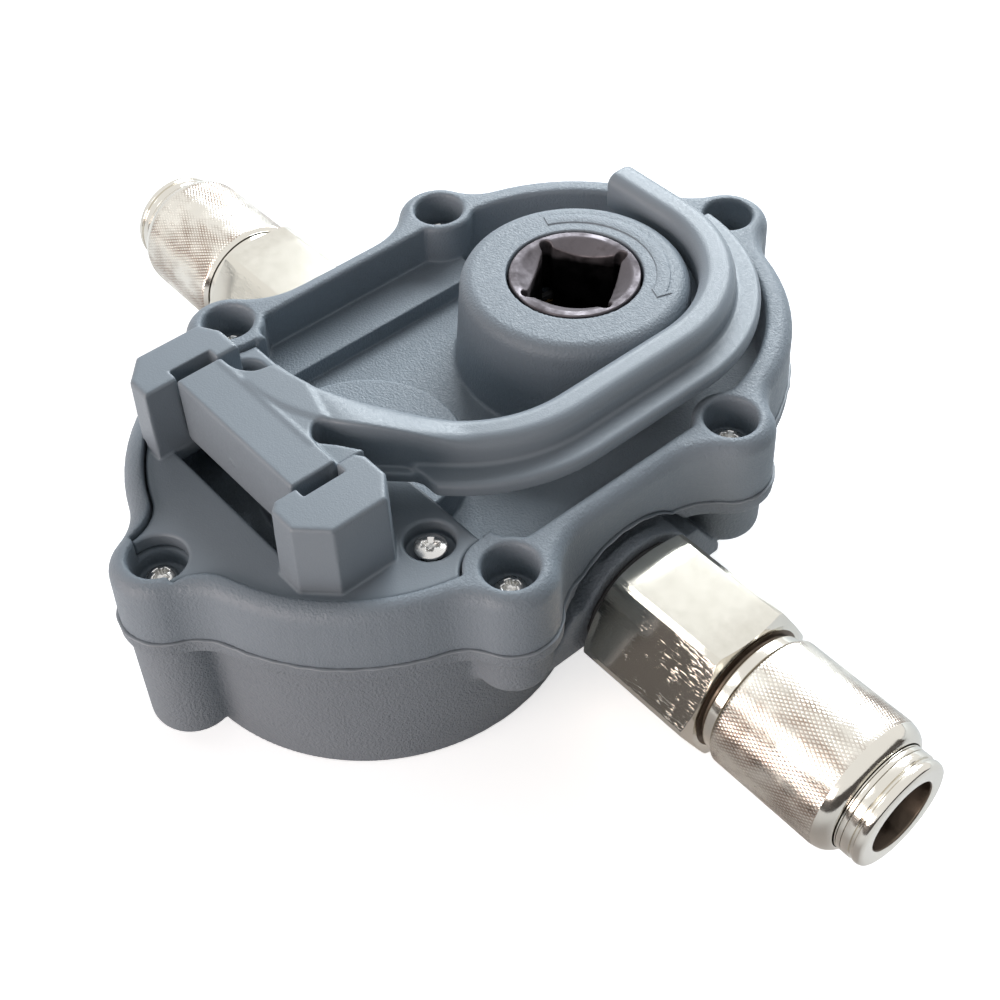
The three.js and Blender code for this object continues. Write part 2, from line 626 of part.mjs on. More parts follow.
function hangerHook() {
  const { pts } = hookPath();
  const h = BEAD_W / 2;
  const r = 1.9;
  const top = [];
  for (const a of [0, 45, 90]) top.push([-h + r - r * cos(a * DEG), BEAD_Z - r + r * sin(a * DEG)]);
  for (const a of [90, 45, 0]) top.push([h - r + r * cos(a * DEG), BEAD_Z - r + r * sin(a * DEG)]);
  const section = [[-h + 0.5, HOOK_Z], [-h, HOOK_Z + 0.5], ...top, [h, HOOK_Z + 0.5], [h - 0.5, HOOK_Z]];
  const rise = EAR_Z - BEAD_Z;
  const lift = (t, p) => {
    const k = min(1, max(0, (-p.y - 14) / 14));
    return p.y < 0 ? rise * k * k * (3 - 2 * k) : 0;
  };
  const bead = sweep(pts, section, lift);
  // flange on the outer side, from behind the drive boss to the lower bend
  const f = FLANGE_W;
  const lip = [
    [-h + 1.5, HOOK_Z],
    [-h + 1.5, FLANGE_Z],
    [-f + 0.8, FLANGE_Z],
    [-f, FLANGE_Z - 0.8],
    [-f, HOOK_Z],
  ].map(([u, z]) => [-u, z]);
  const from = pts.findIndex((p) => p.x > 1);
  const to = pts.findIndex((p) => p.y < -19);
  const flange = cut(sweep(pts.slice(from, to + 1), lip, () => 0), block(-9, 40, -60, FLANGE_END_Y, HOOK_Z - 1, EAR_Z));
  // narrow rib that carries the flange on to the block
  const rib = [
    [-h + 1.5, HOOK_Z],
    [-h + 1.5, FLANGE_Z - 0.6],
    [-h - RIB_W, FLANGE_Z - 0.6],
    [-h - RIB_W, HOOK_Z],
  ].map(([u, z]) => [-u, z]);
  const ribEnd = pts.findIndex((p) => p.x < 8 && p.y < -20);
  const ribs = sweep(pts.slice(to - 1, ribEnd + 2), rib, () => 0);
  // block between the ears, with the pins
  const p = new THREE.Shape();
  const [y0, y1] = BLOCK_Y;
  p.moveTo(y0 + 2.2, BLOCK_Z);
  p.lineTo(y1 - 2.2, BLOCK_Z);
  p.absarc(y1 - 2.2, BLOCK_Z + 2.2, 2.2, -PI / 2, 0, false);
  p.lineTo(y1, EAR_Z - 0.5);
  p.lineTo(y1 - 0.5, EAR_Z);
  p.lineTo(y0 + 0.7, EAR_Z);
  p.lineTo(y0, EAR_Z - 0.7);
  p.absarc(y0 + 2.2, BLOCK_Z + 2.2, 2.2, PI, 1.5 * PI, false);
  const g = new THREE.ExtrudeGeometry(p, { depth: BLOCK_X[1] - BLOCK_X[0], bevelEnabled: false, curveSegments: 4 });
  g.applyMatrix4(
    new THREE.Matrix4().makeBasis(
      new THREE.Vector3(0, 1, 0),
      new THREE.Vector3(0, 0, 1),
      new THREE.Vector3(1, 0, 0),
    ),
  );
  const body = solid(g.translate(BLOCK_X[0], 0, 0));
  // root: fills the corners between the block's back and the arm, level with both
  const back = BLOCK_Y[1];
  const s = new THREE.Shape();
  s.moveTo(BLOCK_X[0] + 0.5, back - 1);
  s.lineTo(BLOCK_X[0] + 0.5, back - 0.1);
  s.bezierCurveTo(-12.6, back, -11.2, back + 1, -10.2, back + 2.4);
  s.bezierCurveTo(-9.4, back + 3.6, -9.6, back + 4.9, -7.5, back + 5);
  s.lineTo(-2.8, back + 6);
  s.lineTo(4.6, back + 3.9);
  s.bezierCurveTo(3.6, back + 2.6, 4, back + 0.6, 7.6, back - 0.1);
  s.lineTo(7.6, back - 1);
  s.closePath();
  const root = slab(s, HOOK_Z, EAR_Z, 4);
  const pins = [
    rodX(PIN_R, BLOCK_X[0] - GROOVE_D - 0.1, BLOCK_X[0] + 1, HINGE_Y, HINGE_Z, 16),
    rodX(PIN_R, BLOCK_X[1] - 1, BLOCK_X[1] + GROOVE_D + 0.2, HINGE_Y, HINGE_Z, 16),
  ];
  return join(body, bead, flange, ribs, root, ...pins);
}

// ---- drive train --------------------------------------------------------------------------
const CORNER_R = 1.1; // relieved corners of the square
const CORNER_AT = [-100, -35, 35, 100];
function squareShape(af, turn) {
  const h = af / 2;
  const s = new THREE.Shape();
  const pt = (x, y) => v2(x * cos(turn) - y * sin(turn), x * sin(turn) + y * cos(turn));
  const pts = [];
  for (let i = 0; i < 4; i++) {
    const a = i * 90 * DEG;
    const c = v2(h * cos(a) - h * sin(a), h * sin(a) + h * cos(a));
    const k = a + 45 * DEG;
    for (const d of CORNER_AT) pts.push(v2(c.x + CORNER_R * cos(k + d * DEG), c.y + CORNER_R * sin(k + d * DEG)));
  }
  s.setFromPoints(pts.map((p) => pt(p.x, p.y)));
  return s;
}

function driveSocket() {
  const low = BUSH_BOSS_Z + 1.8;
  const body = turned(
    [
      [0, low],
      [SHAFT_R - 0.6, low],
      [SHAFT_R, low + 0.6],
      [SHAFT_R, GEAR_Z - 0.1],
      [SOCKET_BODY_R, GEAR_Z - 0.1],
      [SOCKET_BODY_R, 33.6],
      [SOCKET_R, 34.2],
      [SOCKET_R, BOSS_Z - 0.35],
      [SOCKET_R - 0.35, BOSS_Z],
      [0, BOSS_Z],
    ],
    28,
  );
  const flat = cut(
    body,
    block(-9, 9, SOCKET_BODY_R - 1.2, 9, GEAR_Z - 0.2, GEAR_Z + GEAR_T + 0.3),
    block(-9, 9, -9, -SOCKET_BODY_R + 1.2, GEAR_Z - 0.2, GEAR_Z + GEAR_T + 0.3),
  );
  const lead = bar(SQUARE / 2, SOCKET_R - 0.8, BOSS_Z - 3.2, BOSS_Z + 0.01, 0, 0, 24);
  const hole = slab(squareShape(SQUARE, SQUARE_TURN * DEG), BOSS_Z - SQUARE_DEEP, BOSS_Z + 1, 4);
  return cut(flat, lead, hole);
}

// spur gear outline: involute flanks from the base circle
function gearShape(teeth, bore, phase, rootExtra = 0) {
  const rp = (MODULE * teeth) / 2;
  const ra = rp + MODULE * 0.95;
  const rb = rp * cos(20 * DEG);
  const rf = rp - MODULE * 1.2 - rootExtra;
  const inv = (r) => {
    const t = sqrt(max(0, (r / rb) ** 2 - 1));
    return t - Math.atan(t);
  };
  const half = (MODULE * PI) / 2 / 2 / rp - BACKLASH / 2 / rp + inv(rp);
  const foot = half - inv(max(rb, rf)) + 0.006;
  const flank = [rp, ra].map((r) => [r, half - inv(r)]);
  const pts = [];
  for (let i = 0; i < teeth; i++) {
    const a = phase + (i * 2 * PI) / teeth;
    pts.push(v2(rf * cos(a - foot), rf * sin(a - foot)));
    for (const [r, h] of flank) pts.push(v2(r * cos(a - h), r * sin(a - h)));
    for (const [r, h] of flank.slice().reverse()) pts.push(v2(r * cos(a + h), r * sin(a + h)));
    pts.push(v2(rf * cos(a + foot), rf * sin(a + foot)));
  }
  const s = new THREE.Shape(pts);
  s.holes.push(bore);
  return s;
}

// round bore with two flats
function flatBore(r, flat, n) {
  const a = acos(flat / r);
  const h = new THREE.Path();
  h.setFromPoints([
    ...arc(0, 0, r, -PI / 2 + a, PI / 2 - a, n),
    ...arc(0, 0, r, PI / 2 + a, 1.5 * PI - a, n),
  ]);
  return h;
}

function driveGear() {
  const bore = flatBore(SOCKET_BODY_R + GAP, SOCKET_BODY_R - 1.2 + GAP, 6);
  const s = slab(gearShape(TEETH_DRIVE, bore, PI / TEETH_DRIVE), GEAR_Z, GEAR_Z + GEAR_T);
  // web thinned between hub and rim on both faces
  const trim = (z0, z1) => cut(rod(22.5, z0, z1, 0, 0, 24), rod(12, z0 - 1, z1 + 1, 0, 0, 18));
  return cut(s, trim(GEAR_Z - 1, GEAR_Z + 1), trim(GEAR_Z + GEAR_T - 1, GEAR_Z + GEAR_T + 1));
}

function pinion() {
  const bore = flatBore(PUMP_SHAFT_R + GAP, PUMP_SHAFT_R - 0.8 + GAP, 4);
  return slab(gearShape(TEETH_PINION, bore, PI / 2), GEAR_Z, GEAR_Z + GEAR_T);
}

function impellerShaft() {
  const s = turned(
    [
      [0, 1.6],
      [PUMP_SHAFT_R - 0.5, 1.6],
      [PUMP_SHAFT_R, 2.1],
      [PUMP_SHAFT_R, 30.2],
      [PUMP_SHAFT_R - 0.5, 30.7],
      [0, 30.7],
    ],
    16,
  );
  const f = PUMP_SHAFT_R - 0.8;
  const flats = (z0, z1) => [block(-6, 6, f, 6, z0, z1), block(-6, 6, -6, -f, z0, z1)];
  return cut(s, ...flats(GEAR_Z - 0.2, GEAR_Z + GEAR_T + 0.3), ...flats(CHAMBER_FLOOR + 0.2, COVER_Z + 0.2));
}

function impeller() {
  const z0 = CHAMBER_FLOOR + GAP;
  const z1 = COVER_Z - GAP;
  const hub = rod(IMPELLER_HUB, z0, z1, 0, 0, 24);
  // vane with a thick root, thin web and a bulb at the tip
  const v = new THREE.Shape();
  const w = 1.1;
  v.moveTo(IMPELLER_HUB - 0.8, -2.4);
  v.quadraticCurveTo(IMPELLER_HUB + 1, -w - 0.2, IMPELLER_HUB + 3, -w);
  v.lineTo(IMPELLER_R - 4, -w);
  for (const p of arc(IMPELLER_R - 2, 0, 2, -PI + 0.58, PI - 0.58, 5)) v.lineTo(p.x, p.y);
  v.lineTo(IMPELLER_HUB + 3, w);
  v.quadraticCurveTo(IMPELLER_HUB + 1, w + 0.2, IMPELLER_HUB - 0.8, 2.4);
  v.closePath();
  const g = new THREE.ExtrudeGeometry(v, { depth: z1 - z0, bevelEnabled: false, curveSegments: 2 });
  g.translate(0, 0, z0);
  const vanes = Array.from({ length: VANES }, (_, i) => solid(g.clone().rotateZ((i * 2 * PI) / VANES)));
  const bore = new THREE.Shape(flatBore(PUMP_SHAFT_R + GAP, PUMP_SHAFT_R - 0.8 + GAP, 4).getPoints());
  return cut(join(hub, ...vanes), slab(bore, z0 - 1, z1 + 1));
}

const washer = (ro, ri, z0, z1, seg = 18) =>
  turned(
    [
      [ri, z0],
      [ro, z0],
      [ro, z1],
      [ri, z1],
      [ri, z0],
    ],
    seg,
  );

function ringZ(R, r, z, seg = 20, around = 5) {
  const g = new THREE.TorusGeometry(R, r, around, seg);
  return solid(g.translate(0, 0, z));
}

// lip seal: outer wall, web and a lip towards the shaft
function lipSeal(ro, ri, z0, z1) {
  return turned(
    [
      [ro, z0],
      [ro, z1],
      [ri + 0.1, z1],
      [ri + 0.1, z1 - 0.8],
      [ro - 1.1, z1 - 0.9],
      [ro - 1.1, z0],
      [ro, z0],
    ],
    16,
  );
}

const SEAT_R = 8.2;
function chamberCover() {
  const s = rod(COVER_R, COVER_Z, COVER_Z + COVER_T, 0, 0, 32);
  const eye = rod(PUMP_SHAFT_R + RUN, COVER_Z - 1, COVER_Z + COVER_T + 1, 0, 0, 16);
  const pocket = rod(SEAT_R, COVER_Z + 0.8, COVER_Z + COVER_T + 1, 0, 0, 18);
  const groove = cut(
    rod(COVER_R + 1, COVER_Z + 0.6, COVER_Z + 1.8, 0, 0, 32),
    rod(COVER_R - 1.3, COVER_Z + 0.5, COVER_Z + 1.9, 0, 0, 32),
  );
  return cut(s, eye, pocket, groove);
}

// ---- screws -------------------------------------------------------------------------------
function screw(headR, headT, shankR, length) {
  return turned(
    [
      [0, -length],
      [shankR, -length + 1],
      [shankR, 0],
      [headR, 0],
      [headR, headT * 0.5],
      [headR * 0.6, headT],
      [0, headT],
    ],
    10,
  );
}

// ---- coupling (its axis is X) -------------------------------------------------------------
const SHOULDER_R = 9.9; // the sleeve's back end runs over it
const CHAMBER_IN = 6; // valve chamber
const SEAT_IN = 4.4;
const WEB_X = [44, 46.4];
const SEAL_X = [72.2, 74.4];
const BALL_X = 80;
const BALL_R = 1.7;
const BALL_AT = 7.2;
const WAIST_R = 8; // under the sleeve spring
const SEAL_GROOVE_R = 7.1;

function hexSolid() {
  const s = new THREE.Shape();
  const R = HEX_AF / 2 / cos(30 * DEG);
  for (let i = 0; i < 6; i++) {
    const a = (125 + 60 * i) * DEG;
    if (i) s.lineTo(R * cos(a), R * sin(a));
    else s.moveTo(R * cos(a), R * sin(a));
  }
  s.closePath();
  const g = new THREE.ExtrudeGeometry(s, { depth: HEX_X[1] - HEX_X[0], bevelEnabled: false });
  g.applyMatrix4(
    new THREE.Matrix4().makeBasis(
      new THREE.Vector3(0, 1, 0),
      new THREE.Vector3(0, 0, 1),
      new THREE.Vector3(1, 0, 0),
    ),
  );
  const prism = solid(g.translate(HEX_X[0], 0, PORT_Z));
  const r = HEX_AF / 2 - 0.25;
  const turn = turnedX(
    [
      [HEX_X[0], 0],
      [HEX_X[0], r],
      [HEX_X[0] + 1.1, R + 0.1],
      [HEX_X[1] - 1.1, R + 0.1],
      [HEX_X[1], r],
      [HEX_X[1], 0],
    ],
    24,
  );
  return prism.intersect(turn);
}

function couplingBody() {
  const skin = turnedX(
    [
      [THREAD_X + 0.5, 0],
      [THREAD_X + 0.5, THREAD_R],
      [PORT_FACE_X + 0.3, THREAD_R],
      [PORT_FACE_X + 0.3, 9.6],
      [HEX_X[1] + 0.2, 10.2],
      [HEX_X[1] + 1.4, 9.3],
      [SLEEVE_X[0] - 0.4, SHOULDER_R],
      [65, SHOULDER_R],
      [65, WAIST_R],
      [77.4, WAIST_R],
      [77.8, BODY_R],
      [84.95, BODY_R],
      [84.95, 8.2],
      [86.1, 8.2],
      [86.1, NOSE_R],
      [87.2, NOSE_R],
      [87.5, 8.4],
      [87.8, NOSE_R],
      [END_X - 0.4, NOSE_R],
      [END_X, NOSE_R - 0.4],
      [END_X, 0],
    ],
    20,
  );
  const bore = turnedX(
    [
      [WEB_X[1], 0],
      [WEB_X[1], CHAMBER_IN],
      [67, CHAMBER_IN],
      [67, SEAT_IN],
      [69.5, SEAT_IN],
      [69.5, MOUTH_R],
      [SEAL_X[0], MOUTH_R],
      [SEAL_X[0], SEAL_GROOVE_R],
      [SEAL_X[1], SEAL_GROOVE_R],
      [SEAL_X[1], MOUTH_R],
      [END_X - 0.9, MOUTH_R],
      [END_X + 0.1, MOUTH_R + 1],
      [END_X + 0.1, 0],
    ],
    15,
  );
  const inlet = rodX(4.5, THREAD_X, WEB_X[0], 0, PORT_Z, 10);
  const guide = rodX(3.2, WEB_X[0] - 0.1, WEB_X[1] + 0.1, 0, PORT_Z, 8);
  const balls = ballAngles.map((d) => {
    const g = new THREE.CylinderGeometry(BALL_R + 0.2, BALL_R + 0.2, 6, 6);
    g.rotateX(PI / 2).translate(BALL_X, 0, 7.5).applyMatrix4(new THREE.Matrix4().makeRotationX(d * DEG));
    return solid(g.translate(0, 0, PORT_Z));
  });
  return cut(join(skin, hexSolid()), bore, inlet, guide, ...balls);
}
const ballAngles = [0, 120, 240];

function couplingSleeve() {
  const [a, b] = SLEEVE_X;
  const r = SLEEVE_R;
  return turnedX(
    [
      [a, SHOULDER_R + GAP],
      [a, r - 0.8],
      [a + 0.8, r],
      [b - 0.8, r],
      [b, r - 0.8],
      [b, NOSE_R + 0.2],
      [78, NOSE_R + 0.2],
      [78, SHOULDER_R + GAP],
      [a, SHOULDER_R + GAP],
    ],
    28,
  );
}

function poppet() {
  return turnedX(
    [
      [WEB_X[0] + 0.6, 0],
      [WEB_X[0] + 0.6, 1.2],
      [62.6, 1.2],
      [63.4, 5.3],
      [65.8, 5.3],
      [67.6, 3.3],
      [71.2, 2.8],
      [71.2, 0],
    ],
    14,
  );
}

// wire coil about the coupling axis, with a flat-lying end turn each side
class Coil extends THREE.Curve {
  constructor(x0, x1, R, turns) {
    super();
    Object.assign(this, { x0, x1, R, turns });
  }
  getPoint(t, out = new THREE.Vector3()) {
    const n = this.turns;
    const s = t * n;
    const pitch = (this.x1 - this.x0) / (n - 0.6);
    const x = s < 0.7 ? (s / 0.7) * 0.4 * pitch : s > n - 0.7 ? this.x1 - this.x0 - ((n - s) / 0.7) * 0.4 * pitch : 0.4 * pitch + ((s - 0.7) / (n - 1.4)) * (this.x1 - this.x0 - 0.8 * pitch);
    const a = s * 2 * PI;
    return out.set(this.x0 + x, this.R * cos(a), PORT_Z + this.R * sin(a));
  }
}

// tube of five sides along the coil, closed at both ends
function coilSpring(x0, x1, R, wire, turns) {
  const c = new Coil(x0 + wire, x1 - wire, R, turns);
  const n = turns * 8;
  const rings = [];
  const line = [];
  for (let i = 0; i <= n; i++) {
    const t = i / n;
    const p = c.getPoint(t);
    line.push(p);
    const out = new THREE.Vector3(0, p.y, p.z - PORT_Z).normalize();
    const along = c.getPoint(min(1, t + 1e-4)).sub(c.getPoint(max(0, t - 1e-4))).normalize();
    const side = new THREE.Vector3().crossVectors(along, out).normalize();
    rings.push(
      Array.from({ length: 5 }, (_, k) => {
        const a = (k * 2 * PI) / 5;
        return p.clone().addScaledVector(out, wire * cos(a)).addScaledVector(side, wire * sin(a));
      }),
    );
  }
  const section = Array.from({ length: 5 }, (_, k) => v2(cos((k * 2 * PI) / 5), sin((k * 2 * PI) / 5)));
  let least = Infinity;
  for (let i = 0; i < line.length; i++)
    for (let j = i + 5; j < line.length; j++) least = min(least, line[i].distanceTo(line[j]) - 2 * wire);
  console.log("spring of " + turns + " turns: least gap to itself " + least.toFixed(2) + " mm");
  return loft(rings, section);
}

function ringX(R, r, x, seg = 18, around = 5) {
  const g = new THREE.TorusGeometry(R, r, around, seg);
  return solid(g.rotateY(PI / 2).translate(x, 0, PORT_Z));
}

function coupling(side) {
  const g = new THREE.Group();
  const put = (name, s, m) => g.add(mesh(side + "_" + name, s, m));
  put("coupling_body", couplingBody(), NICKEL());
  put("coupling_sleeve", couplingSleeve(), NICKEL());
  const sleeveSpring = coilSpring(65 + 0.1, 78 - 0.1, 9.45, 0.4, 4);
  put("sleeve_spring", sleeveSpring, STEEL());
  put("valve_poppet", poppet(), NICKEL());
  put("valve_spring", coilSpring(WEB_X[1] + 0.1, 62.9, 4.6, 0.4, 5), STEEL());
  put("mouth_seal", ringX(6.35, 0.65, (SEAL_X[0] + SEAL_X[1]) / 2), RUBBER());
  put("port_seal", ringX(10.4, 0.5, (PORT_FACE_X + HEX_X[0]) / 2), RUBBER());
  const clip = turnedX(
    [
      [85.05, 8.5],
      [85.05, 9.5],
      [85.85, 9.5],
      [85.85, 8.5],
      [85.05, 8.5],
    ],
    20,
  );
  put("stop_ring", clip, STEEL());
  ballAngles.forEach((d, i) => {
    const b = new THREE.SphereGeometry(BALL_R, 8, 5);
    b.rotateX(PI / 2).translate(BALL_X, 0, BALL_AT).applyMatrix4(new THREE.Matrix4().makeRotationX(d * DEG));
    put("latch_ball_" + (i + 1), solid(b.translate(0, 0, PORT_Z)), STEEL());
  });
  return g;
}

// ---- assembly -----------------------------------------------------------------------------
const pump = new THREE.Group();
pump.add(mesh("upper_housing", upperHousing(), GREY()));
pump.add(mesh("lower_housing", lowerHousing(), GREY_LOW()));
pump.add(mesh("cover_plate", coverPlate(), GREY_SMOOTH()));
pump.add(mesh("hanger_hook", hangerHook(), GREY_SMOOTH()));

const housingSeal = ring2(SEAL_R[0] + GAP, SEAL_R[1] - GAP, SEAL_Z + 0.1, PART_Z - 0.1);
pump.add(mesh("housing_seal", housingSeal, RUBBER()));

// along the drive shaft
const drive = new THREE.Group();
drive.position.set(0, AXIS_Y, 0);
drive.add(mesh("drive_socket", driveSocket(), DARK_STEEL()));
drive.add(mesh("drive_gear", driveGear(), POM()));
const driveBush = washer(BUSH_R, SOCKET_BODY_R + 0.2, PART_Z - 0.1, BUSH_TOP - 1.1, 28);
drive.add(mesh("drive_bush_upper", driveBush, BRONZE()));
drive.add(mesh("drive_bush_lower", washer(CASE_BUSH_R, SHAFT_R + 0.1, BUSH_BOSS_Z + 1.7, CASE_FLOOR - 0.1), BRONZE()));
drive.add(mesh("drive_seal", ringZ(SOCKET_BODY_R + 0.95, 0.7, BUSH_TOP - 0.35), RUBBER()));
pump.add(drive);

// along the impeller shaft
const shaft = new THREE.Group();
shaft.position.set(0, -AXIS_Y, 0);
shaft.add(mesh("impeller_shaft", impellerShaft(), STEEL()));
shaft.add(mesh("pinion", pinion(), POM()));
shaft.add(mesh("impeller", impeller(), RUBBER()));
shaft.add(mesh("chamber_cover", chamberCover(), STEEL()));
shaft.add(mesh("chamber_seal", ringZ(COVER_R - 0.45, 0.5, COVER_Z + 1.2, 32), RUBBER()));
shaft.add(mesh("shaft_seal", lipSeal(SEAT_R - GAP, PUMP_SHAFT_R, COVER_Z + 0.9, COVER_Z + COVER_T), RUBBER()));
const upperBush = washer(PUMP_BUSH_R, PUMP_SHAFT_R + 0.1, PART_Z - SPIGOT + 0.1, 29.6, 24);
shaft.add(mesh("shaft_bush_upper", upperBush, BRONZE()));
shaft.add(mesh("shaft_bush_lower", washer(PUMP_BUSH_R, PUMP_SHAFT_R + 0.1, 1.5, CHAMBER_FLOOR, 24), BRONZE()));
pump.add(shaft);

// screws
LOBES.forEach(([x, y], i) => {
  const s = screw(2.6, 2.2, 1.4, SCREW_SEAT - SCREW_TIP);
  pump.add(mesh("housing_screw_" + (i + 1), s, STEEL(), [x, y, SCREW_SEAT + 0.05]));
});
["right", "left"].forEach((name, i) => {
  const s = screw(2.6, 2.2, 1.2, PLATE_SEAT - FLOOR_Z + 0.8);
  const x = (i ? -1 : 1) * PLATE_SCREW[0];
  pump.add(mesh("plate_screw_" + name, s, STEEL(), [x, PLATE_SCREW[1], PLATE_SEAT + 0.05]));
});

// couplings: the back one is the front one turned half round
const front = coupling("front");
const back = coupling("back");
back.rotation.z = PI;
pump.add(front, back);

export default pump;
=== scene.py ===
"""Looks of the hand-driven bilge pump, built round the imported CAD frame.

Shapes are written in millimetres in the part's own frame: +X along the couplings, +Y from the pump
pot to the drive boss, +Z up from the pot's foot. Moulded and pressed pieces are signed distance
fields turned into smooth skins, so that every edge has its real radius; turned pieces are lathed.
"""

import json
import math

import bpy
import numpy as np
from mathutils import Matrix, Vector


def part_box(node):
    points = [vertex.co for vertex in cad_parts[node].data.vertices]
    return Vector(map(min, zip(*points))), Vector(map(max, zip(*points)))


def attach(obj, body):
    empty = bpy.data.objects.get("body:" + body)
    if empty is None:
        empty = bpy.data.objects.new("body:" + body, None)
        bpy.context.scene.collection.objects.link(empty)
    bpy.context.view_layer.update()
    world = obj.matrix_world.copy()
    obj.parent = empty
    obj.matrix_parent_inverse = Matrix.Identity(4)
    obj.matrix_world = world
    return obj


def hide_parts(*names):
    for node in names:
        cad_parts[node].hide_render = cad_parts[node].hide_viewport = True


MM = 0.001
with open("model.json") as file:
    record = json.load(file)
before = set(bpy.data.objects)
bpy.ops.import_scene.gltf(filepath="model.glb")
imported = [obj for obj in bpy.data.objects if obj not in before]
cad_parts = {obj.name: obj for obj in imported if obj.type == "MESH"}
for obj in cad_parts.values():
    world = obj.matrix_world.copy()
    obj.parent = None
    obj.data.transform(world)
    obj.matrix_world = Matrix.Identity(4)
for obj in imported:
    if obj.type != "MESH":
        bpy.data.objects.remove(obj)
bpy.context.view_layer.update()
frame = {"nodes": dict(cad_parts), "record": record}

# ---- sizes, in millimetres ----------------------------------------------------------------
# housings: outline, heights and rim
AXIS_Y, WAIST_X, END_R = 21.75, 35.0, 34.7
LOBE_R, LOBE_X, LOBE_END_Y = 6.85, 34.4, 57.0
RIM_Z, FLOOR_Z, PART_Z, FLANGE_T = 37.6, 27.8, 26.5, 2.6
RIM_ROUND, DRAFT, PROUD = 2.4, 0.35, 0.65
# recess of the upper housing and what stands in it
RECESS_X, RECESS_R, RECESS_LOW_R = 31.5, 30.2, 27.2
BOSS_Z, BOSS_R, BOSS_FOOT_R = 44.1, 18.1, 19.3
SMALL_BOSS_Z, SMALL_BOSS_R = 33.9, 16
STRIP_Z, STRIP_X = 30.7, -23.4
SOCKET_R, SOCKET_GAP, SOCKET_FOOT = 10.4, 0.4, 33.2
DRIVE_BORE_R, BUSH_R = 10.55, 6.9
SQUARE, SQUARE_TURN, SQUARE_DEEP = 12.85, math.radians(35), 17.0
# screws: wells of the housing screws, cups of the plate screws
WELL_R, SCREW_SEAT = 4.1, 31.2
PLATE_SCREW, PLATE_SEAT, CUP_R, CUP_WALL_R = (22.85, -26.6), 34.0, 3.75, 4.7
# lower housing: pump pot, raised case, ports and the parting line's arches over them
POT_R, POT_FOOT_R, POT_ROUND = 33.4, 33.0, 1.0
CASE_R, CASE_Z, CASE_FLOOR, CASE_CAVITY_R = 32.4, 17.4, 20.2, 29.8
CHAMBER_R, CHAMBER_Z, COVER_R, COVER_Z = 28.8, 3.4, 30.6, 17.6
DRIVE_CASE_R, DRIVE_CASE_Z, DRIVE_CAVITY_R = 11.4, 15.1, 8.3
PORT_Z, PORT_X, PORT_BORE_R, COLLAR_R = 16.2, 38.0, 8.5, 11.9
SADDLE_Y, SADDLE_Z = 18.1, 13.1
ARCH_R, ARCH_X, ARCH_Z = 13.7, 32.6, 22.0
# couplings
HEX_AF, HEX_X, HEX_TURN = 22.7, (39.2, 60.6), 120
SLEEVE_R, SLEEVE_X, SLEEVE_BORE_R = 10.9, (63.1, 84.7), 8.95
NOSE_R, MOUTH_R, END_X, RING_R = 8.85, 5.9, 89.2, 8.2
# cover plate and hanging hook
PLATE_Z, PLATE_T, EAR_Z = 36.7, 2.4, 49.3
HINGE_Y, HINGE_Z, PIN_R, PIN_GAP = -37.2, 40.8, 3.1, 0.3
BLOCK_X, BLOCK_Y, BLOCK_Z = (-15.9, 12.1), (-41.0, -33.4), 36.4
BEAD_W, BEAD_Z, HOOK_Z, LIP_Z, LIP_W = 5.8, 46.1, 39.5, 41.8, 7.0
BEND_R, TAIL_X, LOWER_R, ROOT_Y, ARM = 22.3, -13.5, 23.4, -30.8, 21.6

LOBES = [(LOBE_X, AXIS_Y), (0, LOBE_END_Y), (-LOBE_X, AXIS_Y)]
LOBES += [(-LOBE_X, -AXIS_Y), (0, -LOBE_END_Y), (LOBE_X, -AXIS_Y)]
SIDES = {"front": 1, "back": -1}
FINE = 0.3  # spacing of the distance fields


# ---- distance fields ----------------------------------------------------------------------
class Grid:
    """A box of evenly spaced points; X, Y and Z broadcast against each other."""

    def __init__(self, low, high, step):
        self.low = np.array(low, float) - 1.5 * step
        self.step = step
        n = [int(math.ceil((h - l) / step)) + 4 for l, h in zip(low, high)]
        axes = [self.low[i] + step * np.arange(n[i]) for i in range(3)]
        self.X = axes[0].astype(np.float32)[:, None, None]
        self.Y = axes[1].astype(np.float32)[None, :, None]
        self.Z = axes[2].astype(np.float32)[None, None, :]


def both(a, b, r=0.0):
    """Intersection of two fields, with the edge between them rounded by r."""
    if r <= 0:
        return np.maximum(a, b)
    u = np.maximum(a + r, 0)
    v = np.maximum(b + r, 0)
    return np.minimum(np.maximum(a, b), -r) + np.sqrt(u * u + v * v)


def join(a, b, r=0.0):
    return -both(-a, -b, r)


def cut(a, b, r=0.0):
    return both(a, -b, r)


def disc(X, Y, x, y, r):
    return np.sqrt((X - x) ** 2 + (Y - y) ** 2) - r


def rect(X, Y, x0, x1, y0, y1, r=0.0):
    u = np.abs(X - (x0 + x1) / 2) - (x1 - x0) / 2 + r
    v = np.abs(Y - (y0 + y1) / 2) - (y1 - y0) / 2 + r
    out = np.sqrt(np.maximum(u, 0) ** 2 + np.maximum(v, 0) ** 2)
    return out + np.minimum(np.maximum(u, v), 0) - r


def slab(d, Z, z0, z1, low=0.0, high=0.0):
    return both(both(d, z0 - Z, low), Z - z1, high)


